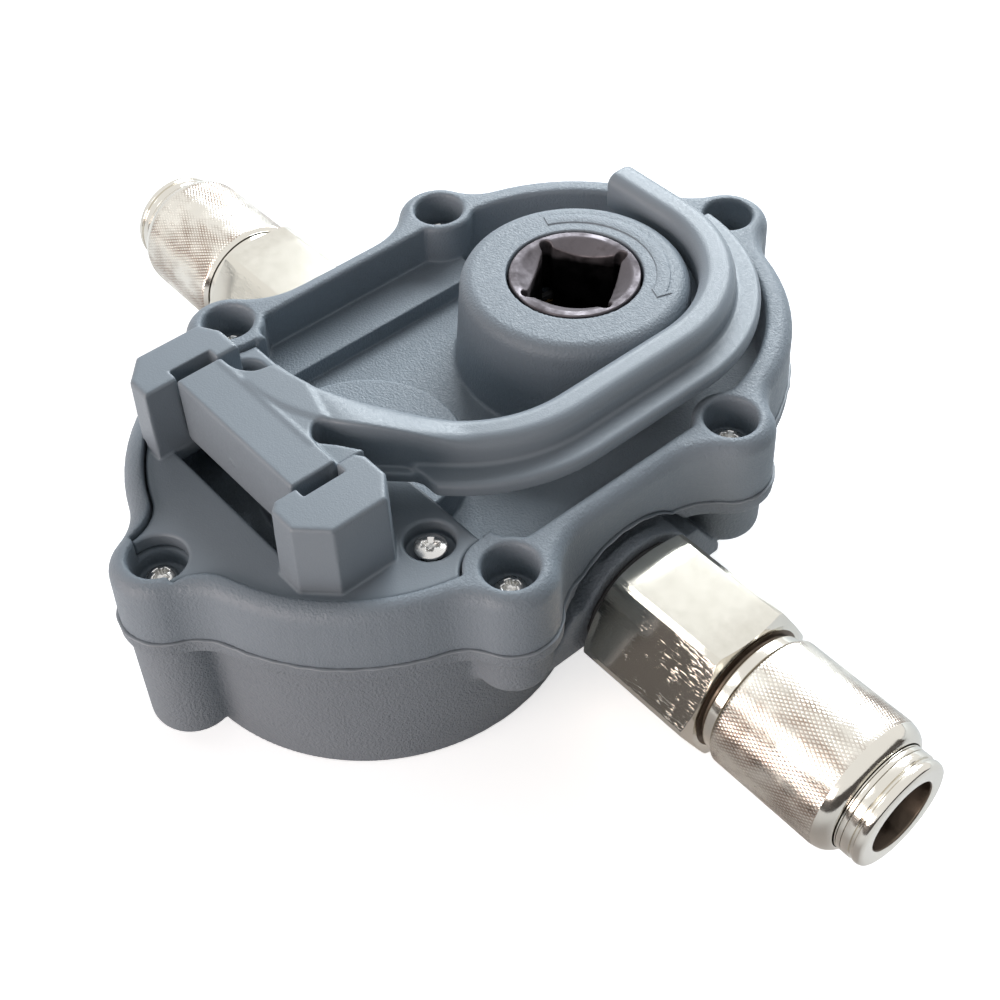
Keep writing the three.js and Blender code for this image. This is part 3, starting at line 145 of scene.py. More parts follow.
def polygon(X, Y, points):
    """Distance to a closed outline, negative inside."""
    p = np.array(points, np.float32)
    x, y = np.broadcast_arrays(X[:, :, 0], Y[:, :, 0])
    best = np.full(x.shape, 1e12, np.float32)
    inside = np.zeros(x.shape, bool)
    for (ax, ay), (bx, by) in zip(p, np.roll(p, -1, 0)):
        ex, ey = bx - ax, by - ay
        px, py = x - ax, y - ay
        t = np.clip((px * ex + py * ey) / max(ex * ex + ey * ey, 1e-9), 0, 1)
        best = np.minimum(best, (px - t * ex) ** 2 + (py - t * ey) ** 2)
        if ay != by:
            inside ^= ((ay > y) != (by > y)) & (x < ex * (y - ay) / (by - ay) + ax)
    d = np.sqrt(best)
    return np.where(inside, -d, d)[:, :, None]


def skin(grid, field):
    """Points and quads of the field's zero surface, by surface nets."""
    shape = (grid.X.size, grid.Y.size, grid.Z.size)
    v = np.ascontiguousarray(np.broadcast_to(field, shape), np.float32)
    neg = v < 0
    nx, ny, nz = (n - 1 for n in v.shape)
    corners = [(i, j, k) for i in (0, 1) for j in (0, 1) for k in (0, 1)]
    count = np.zeros((nx, ny, nz), np.int8)
    for i, j, k in corners:
        count += neg[i : nx + i, j : ny + j, k : nz + k]
    cells = np.argwhere((count > 0) & (count < 8))
    value = [v[cells[:, 0] + i, cells[:, 1] + j, cells[:, 2] + k] for i, j, k in corners]
    total = np.zeros((len(cells), 3))
    hits = np.zeros(len(cells))
    for a, ca in enumerate(corners):
        for b, cb in enumerate(corners):
            if b > a and sum(p != q for p, q in zip(ca, cb)) == 1:
                va, vb = value[a], value[b]
                m = (va < 0) != (vb < 0)
                t = np.where(m, va / np.where(m, va - vb, 1), 0)
                total[m] += (np.array(ca) + t[:, None] * (np.array(cb) - np.array(ca)))[m]
                hits += m
    points = grid.low + grid.step * (cells + total / hits[:, None])
    index = np.full((nx, ny, nz), -1, np.int64)
    index[tuple(cells.T)] = np.arange(len(cells))
    quads = []
    for axis in range(3):
        u, w = (axis + 1) % 3, (axis + 2) % 3
        first = [slice(1, -1)] * 3
        second = [slice(1, -1)] * 3
        first[axis], second[axis] = slice(0, -1), slice(1, None)
        a, b = neg[tuple(first)], neg[tuple(second)]
        for flip in (False, True):
            e = np.argwhere((a & ~b) if flip else (~a & b))
            e += 1
            e[:, axis] -= 1
            ring = []
            for du, dw in ((0, 0), (-1, 0), (-1, -1), (0, -1)):
                c = e.copy()
                c[:, u] += du
                c[:, w] += dw
                ring.append(index[c[:, 0], c[:, 1], c[:, 2]])
            q = np.stack(ring, 1)
            quads.append(q if flip else q[:, ::-1])
    return points, np.concatenate(quads)


# ---- pieces -------------------------------------------------------------------------------
def mesh(name, points, faces, smooth=True):
    data = bpy.data.meshes.new(name)
    faces = faces.tolist() if hasattr(faces, "tolist") else faces
    data.from_pydata((np.asarray(points) * MM).tolist(), [], faces)
    data.validate()
    data.update()
    if smooth:
        data.shade_smooth()
    obj = bpy.data.objects.new(name, data)
    bpy.context.scene.collection.objects.link(obj)
    return obj


def thin(obj, ratio):
    """Fewer faces on the flat stretches."""
    m = obj.modifiers.new("thin", "DECIMATE")
    m.ratio = ratio
    bpy.context.view_layer.update()
    lean = bpy.data.meshes.new_from_object(obj.evaluated_get(bpy.context.evaluated_depsgraph_get()))
    obj.modifiers.clear()
    old, obj.data = obj.data, lean
    bpy.data.meshes.remove(old)
    lean.shade_smooth()
    return obj


def piece(obj, body, material, slot, *nodes):
    """A finished piece: its body, finish, and the CAD nodes it stands for."""
    obj.data.materials.clear()
    obj.data.materials.append(material)
    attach(obj, body)
    if nodes:
        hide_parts(*nodes)
    return obj


def rounded(profile, r, n=3):
    """An open profile with its corners rounded."""
    p = [np.array(q, float) for q in profile]
    out = [p[0]]
    for a, b, c in zip(p, p[1:], p[2:]):
        u, w = (a - b), (c - b)
        lu, lw = np.linalg.norm(u), np.linalg.norm(w)
        u, w = u / lu, w / lw
        k = min(r, lu * 0.45, lw * 0.45)
        for i in range(n + 1):
            t = i / n
            out.append(b + u * k * (1 - t) ** 2 + w * k * t**2)
    out.append(p[-1])
    return out


def lathe(name, profile, seg):
    """A ring turned about the couplings' axis from points of (radius, x)."""
    ang = np.arange(seg) * 2 * math.pi / seg
    rows, faces = [], []
    for r, x in profile:
        rows.append(np.stack([np.full(seg, x), r * np.cos(ang), r * np.sin(ang) + PORT_Z], 1))
    for a in range(len(rows) - 1):
        for i in range(seg):
            j = (i + 1) % seg
            faces.append((a * seg + i, a * seg + j, (a + 1) * seg + j, (a + 1) * seg + i))
    return name, np.concatenate(rows), faces


def arc(cx, cy, r, a0, a1, n):
    turn = [a0 + (a1 - a0) * i / n for i in range(n + 1)]
    return [(cx + r * math.cos(a), cy + r * math.sin(a)) for a in turn]


def touch(a, ra, b, rb, f, side):
    """Centre of the circle of radius f that touches two others from outside."""
    dx, dy = b[0] - a[0], b[1] - a[1]
    d = math.hypot(dx, dy)
    p, q = ra + f, rb + f
    u = (p * p - q * q + d * d) / (2 * d)
    h = math.sqrt(p * p - u * u) * side
    return (a[0] + (u * dx - h * dy) / d, a[1] + (u * dy + h * dx) / d)


def outline():
    """The housings' rim: two round ends, straight waists and six screw lobes."""
    end, lobe, tip = (0, AXIS_Y), (LOBE_X, AXIS_Y), (0, LOBE_END_Y)
    f1, f2, f3 = 12, 8, 10  # fillets: waist to lobe, lobe to end, end to tip
    c1 = (WAIST_X + f1, AXIS_Y - math.sqrt((LOBE_R + f1) ** 2 - (WAIST_X + f1 - LOBE_X) ** 2))
    c2 = touch(end, END_R, lobe, LOBE_R, f2, 1)
    c3 = touch(end, END_R, tip, LOBE_R, f3, -1)
    way = lambda a, b: math.atan2(b[1] - a[1], b[0] - a[0])
    full = 2 * math.pi
    q = arc(*c1, f1, math.pi, way(c1, lobe), 8)
    q += arc(*lobe, LOBE_R, way(lobe, c1), way(lobe, c2), 14)[1:]
    q += arc(*c2, f2, way(c2, lobe) + full, way(c2, end) + full, 8)[1:]
    q += arc(*end, END_R, way(end, c2), way(end, c3), 12)[1:]
    q += arc(*c3, f3, way(c3, end) + full, way(c3, tip) + full, 8)[1:]
    q += arc(*tip, LOBE_R, way(tip, c3), math.pi / 2, 7)[1:]
    half = q + [(-x, y) for x, y in q[-2::-1]]
    return half + [(x, -y) for x, y in half[::-1]]


def plate_outline(g):
    """The cover plate's edge, grown by g."""
    cy, R, rc, rf = -AXIS_Y, 31.4 + g, 7 - g, 7.5 - g
    back = -21.3 + g
    a0 = math.pi + math.asin((-AXIS_Y - back) / rc)
    u = (R * R - rc * rc + LOBE_X**2) / (2 * LOBE_X)
    meet = math.atan2(-math.sqrt(R * R - u * u), u)
    a1 = math.atan2(R * math.sin(meet), R * math.cos(meet) - LOBE_X) + 2 * math.pi
    fx = 12.7
    fy = cy - math.sqrt((31.4 + 7.5) ** 2 - fx * fx)
    tan = math.atan2(fy - cy, fx)
    side = arc(LOBE_X, cy, rc, a0, a1, 8)
    side += arc(0, cy, R, meet, tan, 20)[1:]
    side += arc(fx, fy, rf, tan + math.pi, math.pi - math.radians(4), 8)[1:]
    return side + [(-x, y) for x, y in side[::-1]]


# ---- materials ----------------------------------------------------------------------------
class Nodes:
    """A material's shader tree, in the piece's own coordinates."""

    def __init__(self, name, rough, metal=0.0, colour=(0.5, 0.5, 0.5)):
        self.mat = bpy.data.materials.new(name)
        self.mat.use_nodes = True
        self.t = self.mat.node_tree
        self.bsdf = self.t.nodes["Principled BSDF"]
        self.bsdf.inputs["Roughness"].default_value = rough
        self.bsdf.inputs["Metallic"].default_value = metal
        self.bsdf.inputs["Base Color"].default_value = (*colour, 1)
        self.coords = self.t.nodes.new("ShaderNodeTexCoord").outputs["Object"]

    def add(self, kind, **values):
        n = self.t.nodes.new("ShaderNode" + kind)
        for k, v in values.items():
            if k in n.inputs:
                n.inputs[k].default_value = v
            else:
                setattr(n, k, v)
        return n

    def link(self, a, b):
        self.t.links.new(a, b)

    def noise(self, scale, detail=2.0, rough=0.5, stretch=None, tilt=0.0):
        n = self.add("TexNoise", Scale=scale, Detail=detail, Roughness=rough)
        if stretch:
            m = self.add("Mapping")
            m.inputs["Scale"].default_value = stretch
            m.inputs["Rotation"].default_value = (0, tilt, tilt)
            self.link(self.coords, m.inputs["Vector"])
            self.link(m.outputs["Vector"], n.inputs["Vector"])
        else:
            self.link(self.coords, n.inputs["Vector"])
        return n.outputs["Fac"]

    def ramp(self, source, stops):
        n = self.add("ValToRGB")
        e = n.color_ramp.elements
        while len(e) < len(stops):
            e.new(0.5)
        for el, (at, c) in zip(e, stops):
            el.position = at
            el.color = (*c, 1) if len(c) == 3 else c
        self.link(source, n.inputs["Fac"])
        return n.outputs["Color"]

    def math(self, op, a, b):
        n = self.add("Math", operation=op)
        for s, v in zip(n.inputs, (a, b)):
            if isinstance(v, (int, float)):
                s.default_value = v
            else:
                self.link(v, s)
        return n.outputs[0]

    def bump(self, height, distance):
        n = self.add("Bump", Strength=1.0, Distance=distance)
        self.link(height, n.inputs["Height"])
        return n.outputs["Normal"]


def moulded(name, dark, light, rough, grain, depth):
    """Grey moulded plastic: slow colour drift, fine spark-eroded grain."""
    m = Nodes(name, rough)
    drift = m.noise(60, 3)
    m.link(m.ramp(drift, [(0.3, dark), (0.7, light)]), m.bsdf.inputs["Base Color"])
    fine = m.noise(grain, 2, 0.6)
    m.link(m.bump(fine, depth), m.bsdf.inputs["Normal"])
    stops = [(0.35, (rough - 0.06,) * 3), (0.7, (rough + 0.08,) * 3)]
    speck = m.ramp(m.noise(grain * 0.6, 2), stops)
    m.link(speck, m.bsdf.inputs["Roughness"])
    m.bsdf.inputs["Specular IOR Level"].default_value = 0.5
    return m.mat


def plated(name, colour, rough):
    """Metal surface: a tint with patchy polish and fine marks."""
    m = Nodes(name, rough, 1.0, colour)
    stops = [(0.35, (rough * 0.7,) * 3), (0.75, (rough * 1.9,) * 3)]
    m.link(m.ramp(m.noise(300, 4, 0.6), stops), m.bsdf.inputs["Roughness"])
    dull = tuple(c * 0.93 for c in colour)
    tint = m.ramp(m.noise(90, 3), [(0.3, dull), (0.7, colour)])
    m.link(tint, m.bsdf.inputs["Base Color"])
    marks = m.noise(900, 3, 0.6)
    m.link(m.bump(marks, 0.000015), m.bsdf.inputs["Normal"])
    return m


def hex_flats():
    """Drawn bar, plated without polishing: short scratches at all angles catch the light."""
    m = Nodes("nickel_flats", 0.1, 1.0, (0.74, 0.71, 0.63))
    where = m.ramp(m.noise(190, 2), [(0.42, (0.1, 0.1, 0.1)), (0.62, (1, 1, 1))])
    marks = None
    for tilt, scale in ((0.5, 900), (-0.6, 1100), (1.4, 1000)):
        fine = m.noise(scale, 1, 0.5, (0.6, 2.6, 2.6), tilt)
        one = m.ramp(fine, [(0.6, (0, 0, 0)), (0.68, (1, 1, 1))])
        marks = one if marks is None else m.math("ADD", marks, one)
    m.link(m.bump(m.math("MULTIPLY", marks, where), 0.000008), m.bsdf.inputs["Normal"])
    return m.mat


def satin():
    """The flat that faces up, rubbed dull by handling."""
    m = Nodes("nickel_satin", 0.13, 1.0, (0.76, 0.735, 0.66))
    tint = m.ramp(m.noise(500, 3), [(0.3, (0.72, 0.695, 0.615)), (0.7, (0.78, 0.755, 0.68))])
    m.link(tint, m.bsdf.inputs["Base Color"])
    m.link(m.bump(m.noise(5000, 2), 0.0000006), m.bsdf.inputs["Normal"])
    return m.mat


def knurled():
    """Cross knurl rolled into the sleeve: two sets of slanting furrows, coloured darker brown down
    in them, in dark and worn patches.
    """
    m = plated("nickel_knurl", PLATE, 0.2)
    xyz = m.add("SeparateXYZ")
    m.link(m.coords, xyz.inputs[0])
    x, y, z = xyz.outputs
    turn = m.math("ARCTAN2", m.math("SUBTRACT", z, PORT_Z * MM), y)
    around = m.math("MULTIPLY", turn, SLEEVE_R * MM)
    waves = []
    for k in (-1, 1):
        w = m.math("ADD", around, m.math("MULTIPLY", x, KNURL_SLOPE * k))
        waves.append(m.math("PINGPONG", m.math("DIVIDE", w, KNURL * MM / 2), 1.0))
    tooth = m.math("MINIMUM", *waves)
    wear = m.noise(160, 3, 0.6, (0.5, 1, 1))
    deep = m.ramp(wear, [(0.35, (0.45, 0.45, 0.45)), (0.65, (1, 1, 1))])
    height = m.math("MULTIPLY", tooth, deep)
    m.link(m.bump(height, 0.00007), m.bsdf.inputs["Normal"])
    worn = m.ramp(wear, [(0.36, (0.15, 0.15, 0.15)), (0.6, (1, 1, 1))])
    # the furrows are coloured darker brown, less so on the worn patches
    furrow_brown = m.math("MULTIPLY", m.math("SUBTRACT", 1.0, tooth), worn)
    m.link(m.ramp(furrow_brown, [(0.2, PLATE), (0.9, (0.3, 0.22, 0.17))]), m.bsdf.inputs["Base Color"])
    return m.mat


def socket_steel_with_shade():
    """Oiled steel: grey-mauve on the turned face, with painted black shade down in the square."""
    m = plated("dark_steel", DARK_STEEL, 0.5)
    xyz = m.add("SeparateXYZ")
    m.link(m.coords, xyz.inputs[0])
    # painted shade: below the square's lead-in the colour is ramped to near black
    rise = m.math("DIVIDE", m.math("SUBTRACT", xyz.outputs[2], (BOSS_Z - 3.2) * MM), 0.8 * MM)
    depth = m.ramp(rise, [(0.0, (0.012, 0.011, 0.012)), (1.0, DARK_STEEL)])
    m.link(depth, m.bsdf.inputs["Base Color"])
    return m.mat


PLATE, DARK_STEEL = (0.8, 0.765, 0.69), (0.12, 0.108, 0.116)
KNURL, KNURL_SLOPE = 0.6, 0.56  # pitch in millimetres, and furrow's slant
LIGHT_GREY, DARK_GREY = (0.214, 0.248, 0.282), (0.196, 0.228, 0.26)
GREY = moulded("housing_grey", DARK_GREY, LIGHT_GREY, 0.5, 2600, 0.00014)
GREY_LOW = moulded(
    "housing_grey_low", (0.19, 0.214, 0.24), (0.21, 0.236, 0.264), 0.55, 2200, 0.00026
)
GREY_SMOOTH = moulded(
    "smooth_grey", (0.2, 0.232, 0.262), (0.214, 0.247, 0.28), 0.42, 3800, 0.00003
)
NICKEL = plated("nickel", PLATE, 0.12).mat
# painted shade: a dark brown metal for the bore and the groove behind the hexagon
BORE_SHADE = plated("nickel_bore_shade", (0.17, 0.135, 0.105), 0.4).mat
FLATS = hex_flats()
SATIN = satin()
KNURLED = knurled()
STEEL = plated("steel", (0.72, 0.71, 0.69), 0.22).mat
# oiled steel for the drive socket, with painted shade down in its square
OILED_WITH_SHADE = socket_steel_with_shade()


def plain(name, colour, rough, metal=0.0, grain=900, depth=0.00004):
    """One tone with a slight drift and a fine grain, for the hidden pieces and the fin."""
    m = Nodes(name, rough, metal, colour)
    dull = tuple(c * 0.88 for c in colour)
    tone = m.ramp(m.noise(grain * 0.2, 3), [(0.3, dull), (0.7, colour)])
    m.link(tone, m.bsdf.inputs["Base Color"])
    m.link(m.bump(m.noise(grain, 2), depth), m.bsdf.inputs["Normal"])
    return m.mat


ACETAL = plain("white_plastic", (0.75, 0.73, 0.67), 0.38)
BRONZE = plain("bronze", (0.5, 0.33, 0.14), 0.35, 1.0, 4000, 0.0001)
RUBBER = plain("rubber", (0.02, 0.02, 0.021), 0.7)
# painted highlight: the fin is coloured lighter than the housing grey along the parting line
FIN_HIGHLIGHT = plain("flash", (0.31, 0.34, 0.37), 0.4)
FINISH = {
    "housing_grey": GREY,
    "housing_grey_low": GREY_LOW,
    "smooth_grey": GREY_SMOOTH,
    "dark_steel": OILED_WITH_SHADE,
    "steel": STEEL,
    "nickel": NICKEL,
    "white_plastic": ACETAL,
    "bronze": BRONZE,
    "rubber": RUBBER,
}
for part in frame["record"]["subparts"]:
    node = frame["nodes"][part["node"]]
    node.data.materials.clear()
    node.data.materials.append(FINISH[part["material_slot"]])


# ---- upper housing ------------------------------------------------------------------------
def wells(g, r):
    """Upright cylinders of radius r on the six lobes."""
    d = disc(g.X, g.Y, *LOBES[0], r)
    for x, y in LOBES[1:]:
        d = np.minimum(d, disc(g.X, g.Y, x, y, r))
    return d


def upper_housing():
    w, h = LOBE_X + LOBE_R + 0.4, LOBE_END_Y + LOBE_R + 0.4
    g = Grid((-w, -h, PART_Z), (w, h, BOSS_Z), FINE)
    X, Y, Z = g.X, g.Y, g.Z
    rim = polygon(X, Y, outline())
    s = rim - (RIM_Z - Z) * (DRAFT / (RIM_Z - PART_Z))
    s = slab(s, Z, PART_Z, RIM_Z, 0.1, RIM_ROUND)
    ends = np.minimum(disc(X, Y, 0, AXIS_Y, RECESS_R), disc(X, Y, 0, -AXIS_Y, RECESS_LOW_R))
    well = np.minimum(rect(X, Y, -RECESS_X, RECESS_X, -19, 19), ends)
    well = cut(well, wells(g, 6), 0.4)
    s = cut(s, both(well - (Z - FLOOR_Z) * 0.02, FLOOR_Z - Z, 0.7), 0.9)
    # seat of the cover plate, then what stands on the floor
    s = cut(s, both(polygon(X, Y, plate_outline(0.35)), PLATE_Z - PLATE_T - 0.3 - Z), 0.3)
    strip = rect(X, Y, -RECESS_X, STRIP_X, -21, AXIS_Y)
    s = join(s, slab(strip, Z, FLOOR_Z - 1, STRIP_Z, 0, 0.35), 0.3)
    slope = (BOSS_FOOT_R - BOSS_R) / (BOSS_Z - FLOOR_Z)
    boss = disc(X, Y, 0, AXIS_Y, BOSS_R) - (BOSS_Z - Z) * slope
    s = join(s, slab(boss, Z, FLOOR_Z - 1, BOSS_Z, 0, 2.3), 0.6)
    small = disc(X, Y, 0, -AXIS_Y, SMALL_BOSS_R)
    s = join(s, slab(small, Z, FLOOR_Z - 1, SMALL_BOSS_Z, 0, 0.5), 0.4)
    for k in (-1, 1):
        stud = disc(X, Y, k * PLATE_SCREW[0], PLATE_SCREW[1], CUP_WALL_R)
        s = np.minimum(s, slab(stud, Z, FLOOR_Z - 1, 29.6))
    # socket, seal and bush bores, arches over the ports, screw wells
    s = cut(s, both(disc(X, Y, 0, AXIS_Y, SOCKET_R + SOCKET_GAP), SOCKET_FOOT - Z), 0.25)
    s = cut(s, slab(disc(X, Y, 0, AXIS_Y, DRIVE_BORE_R), Z, PART_Z - 3, SOCKET_FOOT + 0.1))
    s = cut(s, both(np.sqrt(Y * Y + (Z - PORT_Z) ** 2) - ARCH_R, ARCH_X - np.abs(X)), 0.3)
    s = cut(s, slab(disc(X, Y, 0, -AXIS_Y, BUSH_R), Z, PART_Z - 3, 31.2))
    s = cut(s, both(wells(g, WELL_R) - (Z - RIM_Z) * 0.03, SCREW_SEAT - Z, 0.4), 0.75)
    s = cut(s, wells(g, 2))
    return thin(mesh("upper_housing_skin", *skin(g, s)), 0.4)


piece(upper_housing(), "pump", GREY, "housing_grey", "upper_housing")


# ---- lower housing ------------------------------------------------------------------------
def lower_housing():
    w, h = LOBE_X + LOBE_R + PROUD + 0.4, LOBE_END_Y + LOBE_R + PROUD + 0.4
    g = Grid((-w, -h, 0), (w, h, 30.2), FINE * 1.25)
    X, Y, Z = g.X, g.Y, g.Z
    rim = polygon(X, Y, outline())
    flange = slab(rim - PROUD, Z, PART_Z - FLANGE_T, PART_Z, 0.5, 0.25)
    ends = np.sqrt(X * X + (np.abs(Y) - AXIS_Y) ** 2)
    stadium = lambda r: np.where(np.abs(Y) < AXIS_Y, np.abs(X) - r, ends - r)
    case = slab(stadium(CASE_R), Z, CASE_Z, PART_Z - 1, 1.2)
    pot = disc(X, Y, 0, -AXIS_Y, POT_FOOT_R) - Z * ((POT_R - POT_FOOT_R) / PART_Z)
    pot = slab(pot, Z, 0, PART_Z - 1, POT_ROUND)
    drive = slab(disc(X, Y, 0, AXIS_Y, DRIVE_CASE_R), Z, DRIVE_CASE_Z, CASE_Z + 2, 0.8)
    s = join(join(pot, case, 1.5), drive, 1)
    # screw bosses with their webs; the one on the pot reaches down beside it
    for x, y in LOBES:
        low = 2.6 if y < -40 else DRIVE_CASE_Z
        boss = slab(disc(X, Y, x, y, 5.9 if x else 6.6), Z, low, PART_Z - 1, 2.2)
        if x:
            web = rect(X, Y, min(x, x * 0.75), max(x, x * 0.75), y - 1.5, y + 1.5)
        else:
            web = rect(X, Y, -1.5, 1.5, min(y, y * 0.9), max(y, y * 0.9))
        boss = join(boss, slab(web, Z, CASE_Z, PART_Z - 1), 0.8)
        s = join(s, boss, 1.6)
    # ports: a round collar on a saddle with leaning sides
    ax = np.abs(X)
    ring = np.sqrt(Y * Y + (Z - PORT_Z) ** 2)
    arch = np.maximum(np.abs(Y) - SADDLE_Y, SADDLE_Z - Z)
    lean = (np.abs(Y) - SADDLE_Y) * 0.8 + (Z - 14.8) * 0.6
    arch = np.maximum(np.maximum(arch, lean), Z - PORT_Z - COLLAR_R)
    arch = join(ring - COLLAR_R, both(arch, Z - ARCH_Z), 0.5)
    arch = np.maximum(arch, SADDLE_Z - Z)
    port = both(arch, np.maximum(ax - PORT_X, 25 - ax), 0.4)
    tube = both(ring - (COLLAR_R - 2.4), np.maximum(ax - PORT_X, 24 - ax), 0.4)
    port = join(port, tube, 0.4)
    port = cut(port, both(rim - PROUD, PART_Z - Z))
    notch = both(ring - ARCH_R, np.maximum(ARCH_X - ax, ARCH_Z - Z))
    s = join(cut(s, notch, 0.3), cut(flange, notch, 0.3), 0.5)
    s = join(s, port, 0.5)
    # inside: gear case, pump chamber, its cover's seat, the two lower bush seats, the ports' bores
    s = cut(s, both(stadium(CASE_CAVITY_R), CASE_FLOOR - Z))
    s = cut(s, slab(disc(X, Y, 0, -AXIS_Y, CHAMBER_R), Z, CHAMBER_Z, 18))
    s = cut(s, slab(disc(X, Y, 0, -AXIS_Y, COVER_R), Z, COVER_Z, 21))
    s = cut(s, slab(disc(X, Y, 0, AXIS_Y, DRIVE_CAVITY_R), Z, 16.5, 21))
    s = cut(s, slab(disc(X, Y, 0, -AXIS_Y, BUSH_R), Z, 1.2, 4))
    s = cut(s, both(ring - PORT_BORE_R, 27.5 - ax))
    return thin(mesh("lower_housing_skin", *skin(g, s)), 0.4)


piece(lower_housing(), "pump", GREY_LOW, "housing_grey_low", "lower_housing")


# ---- cover plate with the ears ------------------------------------------------------------
LEFT_EAR = [(-16.3, -46), (-16.3, -30), (-21, -30), (-24.2, -31.8), (-24.2, -42.5), (-20.3, -46)]
RIGHT_EAR = [(14, -45.5), (18.3, -45.5), (22.3, -41.5), (22.3, -32.6), (18.5, -29.8)]
RIGHT_EAR += [(14, -29.8), (12.6, -30.8), (12.6, -44.1)]


def cover_plate():
    g = Grid((-31, -58.2, 29.7), (31, -21.1, EAR_Z), FINE * 0.85)
    X, Y, Z = g.X, g.Y, g.Z
    edge = polygon(X, Y, plate_outline(0))
    s = slab(edge, Z, PLATE_Z - PLATE_T, PLATE_Z, 0.1, 0.35)
    for k in (-1, 1):
        wall = disc(X, Y, k * PLATE_SCREW[0], PLATE_SCREW[1], CUP_WALL_R)
        s = join(s, slab(wall, Z, 29.9, PLATE_Z - 1))
    for k in (-1, 1):
        cup = disc(X, Y, k * PLATE_SCREW[0], PLATE_SCREW[1], CUP_R)
        s = cut(s, both(cup, PLATE_SEAT - Z), 0.35)
        s = cut(s, disc(X, Y, k * PLATE_SCREW[0], PLATE_SCREW[1], 1.7))
    ears = np.minimum(polygon(X, Y, LEFT_EAR), polygon(X, Y, RIGHT_EAR))
    ears = slab(ears + 0.5 - (EAR_Z - Z) * 0.02, Z, PLATE_Z - 0.5, EAR_Z + 0.5) - 0.5
    ears = both(ears, Z - EAR_Z, 0.6)
    ears = np.maximum(ears, np.where(edge > -0.1, RIM_Z + 0.3 - Z, -9))
    s = join(s, ears, 0.35)
    # room for the block to swing, and the pins' open grooves in the ears
    s = cut(s, slab(rect(X, Y, -15.9, 12.2, -43.7, -32.3), Z, PLATE_Z - 5, PLATE_Z + 0.5), 0.2)
    for x0, x1 in ((-18.3, -14.3), (10.6, 14.6)):
        foot = np.sqrt((Y - HINGE_Y) ** 2 + (Z - HINGE_Z) ** 2) - PIN_R - PIN_GAP
        slot = np.maximum(np.abs(Y - HINGE_Y) - PIN_R - PIN_GAP, HINGE_Z - Z)
        groove = np.maximum(np.minimum(foot, slot), np.maximum(x0 - X, X - x1))
        s = cut(s, groove, 0.2)
    s = cut(s, both(disc(X, Y, 0, -LOBE_END_Y, 4.4), 32.7 - Z), 0.35)
    return mesh("cover_plate_skin", *skin(g, s))


piece(cover_plate(), "pump", GREY_SMOOTH, "smooth_grey", "cover_plate")


# ---- hanging hook -------------------------------------------------------------------------
def hook_line():
    """Plan of the hook's bead: tail, round bend, straight arm and lower bend to the root."""
    tan = math.tan(math.radians(22.5))
    y1 = ROOT_Y + LOWER_R * tan + ARM
    p = [(TAIL_X, AXIS_Y + BEND_R)]
    p += arc(0, AXIS_Y, BEND_R, math.pi / 2, 0, 32)
    p += arc(BEND_R - LOWER_R, y1, LOWER_R, 0, -math.pi / 4, 16)
    cx = BEND_R - ARM - LOWER_R * tan
    p += arc(cx, ROOT_Y + LOWER_R, LOWER_R, -math.pi / 4, -math.pi / 2, 16)
    return p + [(cx - 0.6, ROOT_Y)]


def along(X, Y, line):
    """Sideways distance from a plan line (positive outward, on its left) and past its ends."""
    x, y = np.broadcast_arrays(X[:, :, 0], Y[:, :, 0])
    best = np.full(x.shape, 1e12)
    side = np.zeros(x.shape)
    past = np.zeros(x.shape)
    last = len(line) - 2
    for i, ((ax, ay), (bx, by)) in enumerate(zip(line, line[1:])):
        ex, ey = bx - ax, by - ay
        length = math.hypot(ex, ey)
        raw = ((x - ax) * ex + (y - ay) * ey) / length**2
        t = np.clip(raw, 0, 1)
        dx, dy = x - ax - t * ex, y - ay - t * ey
        d = dx * dx + dy * dy
        m = d < best - 1e-9
        best[m] = d[m]
        side[m] = ((ex * dy - ey * dx) / length)[m]
        over = np.full(x.shape, -9.0)
        if i == 0:
            over = np.maximum(over, -raw * length)
        if i == last:
            over = np.maximum(over, (raw - 1) * length)
        past[m] = over[m]
    return side[:, :, None], past[:, :, None]


def bezier(p, q, r, s, n=8):
    t = np.linspace(0, 1, n + 1)[:, None]
    p, q, r, s = (np.array(v, float) for v in (p, q, r, s))
    curve = (1 - t) ** 3 * p + 3 * (1 - t) ** 2 * t * q + 3 * (1 - t) * t**2 * r + t**3 * s
    return curve.tolist()


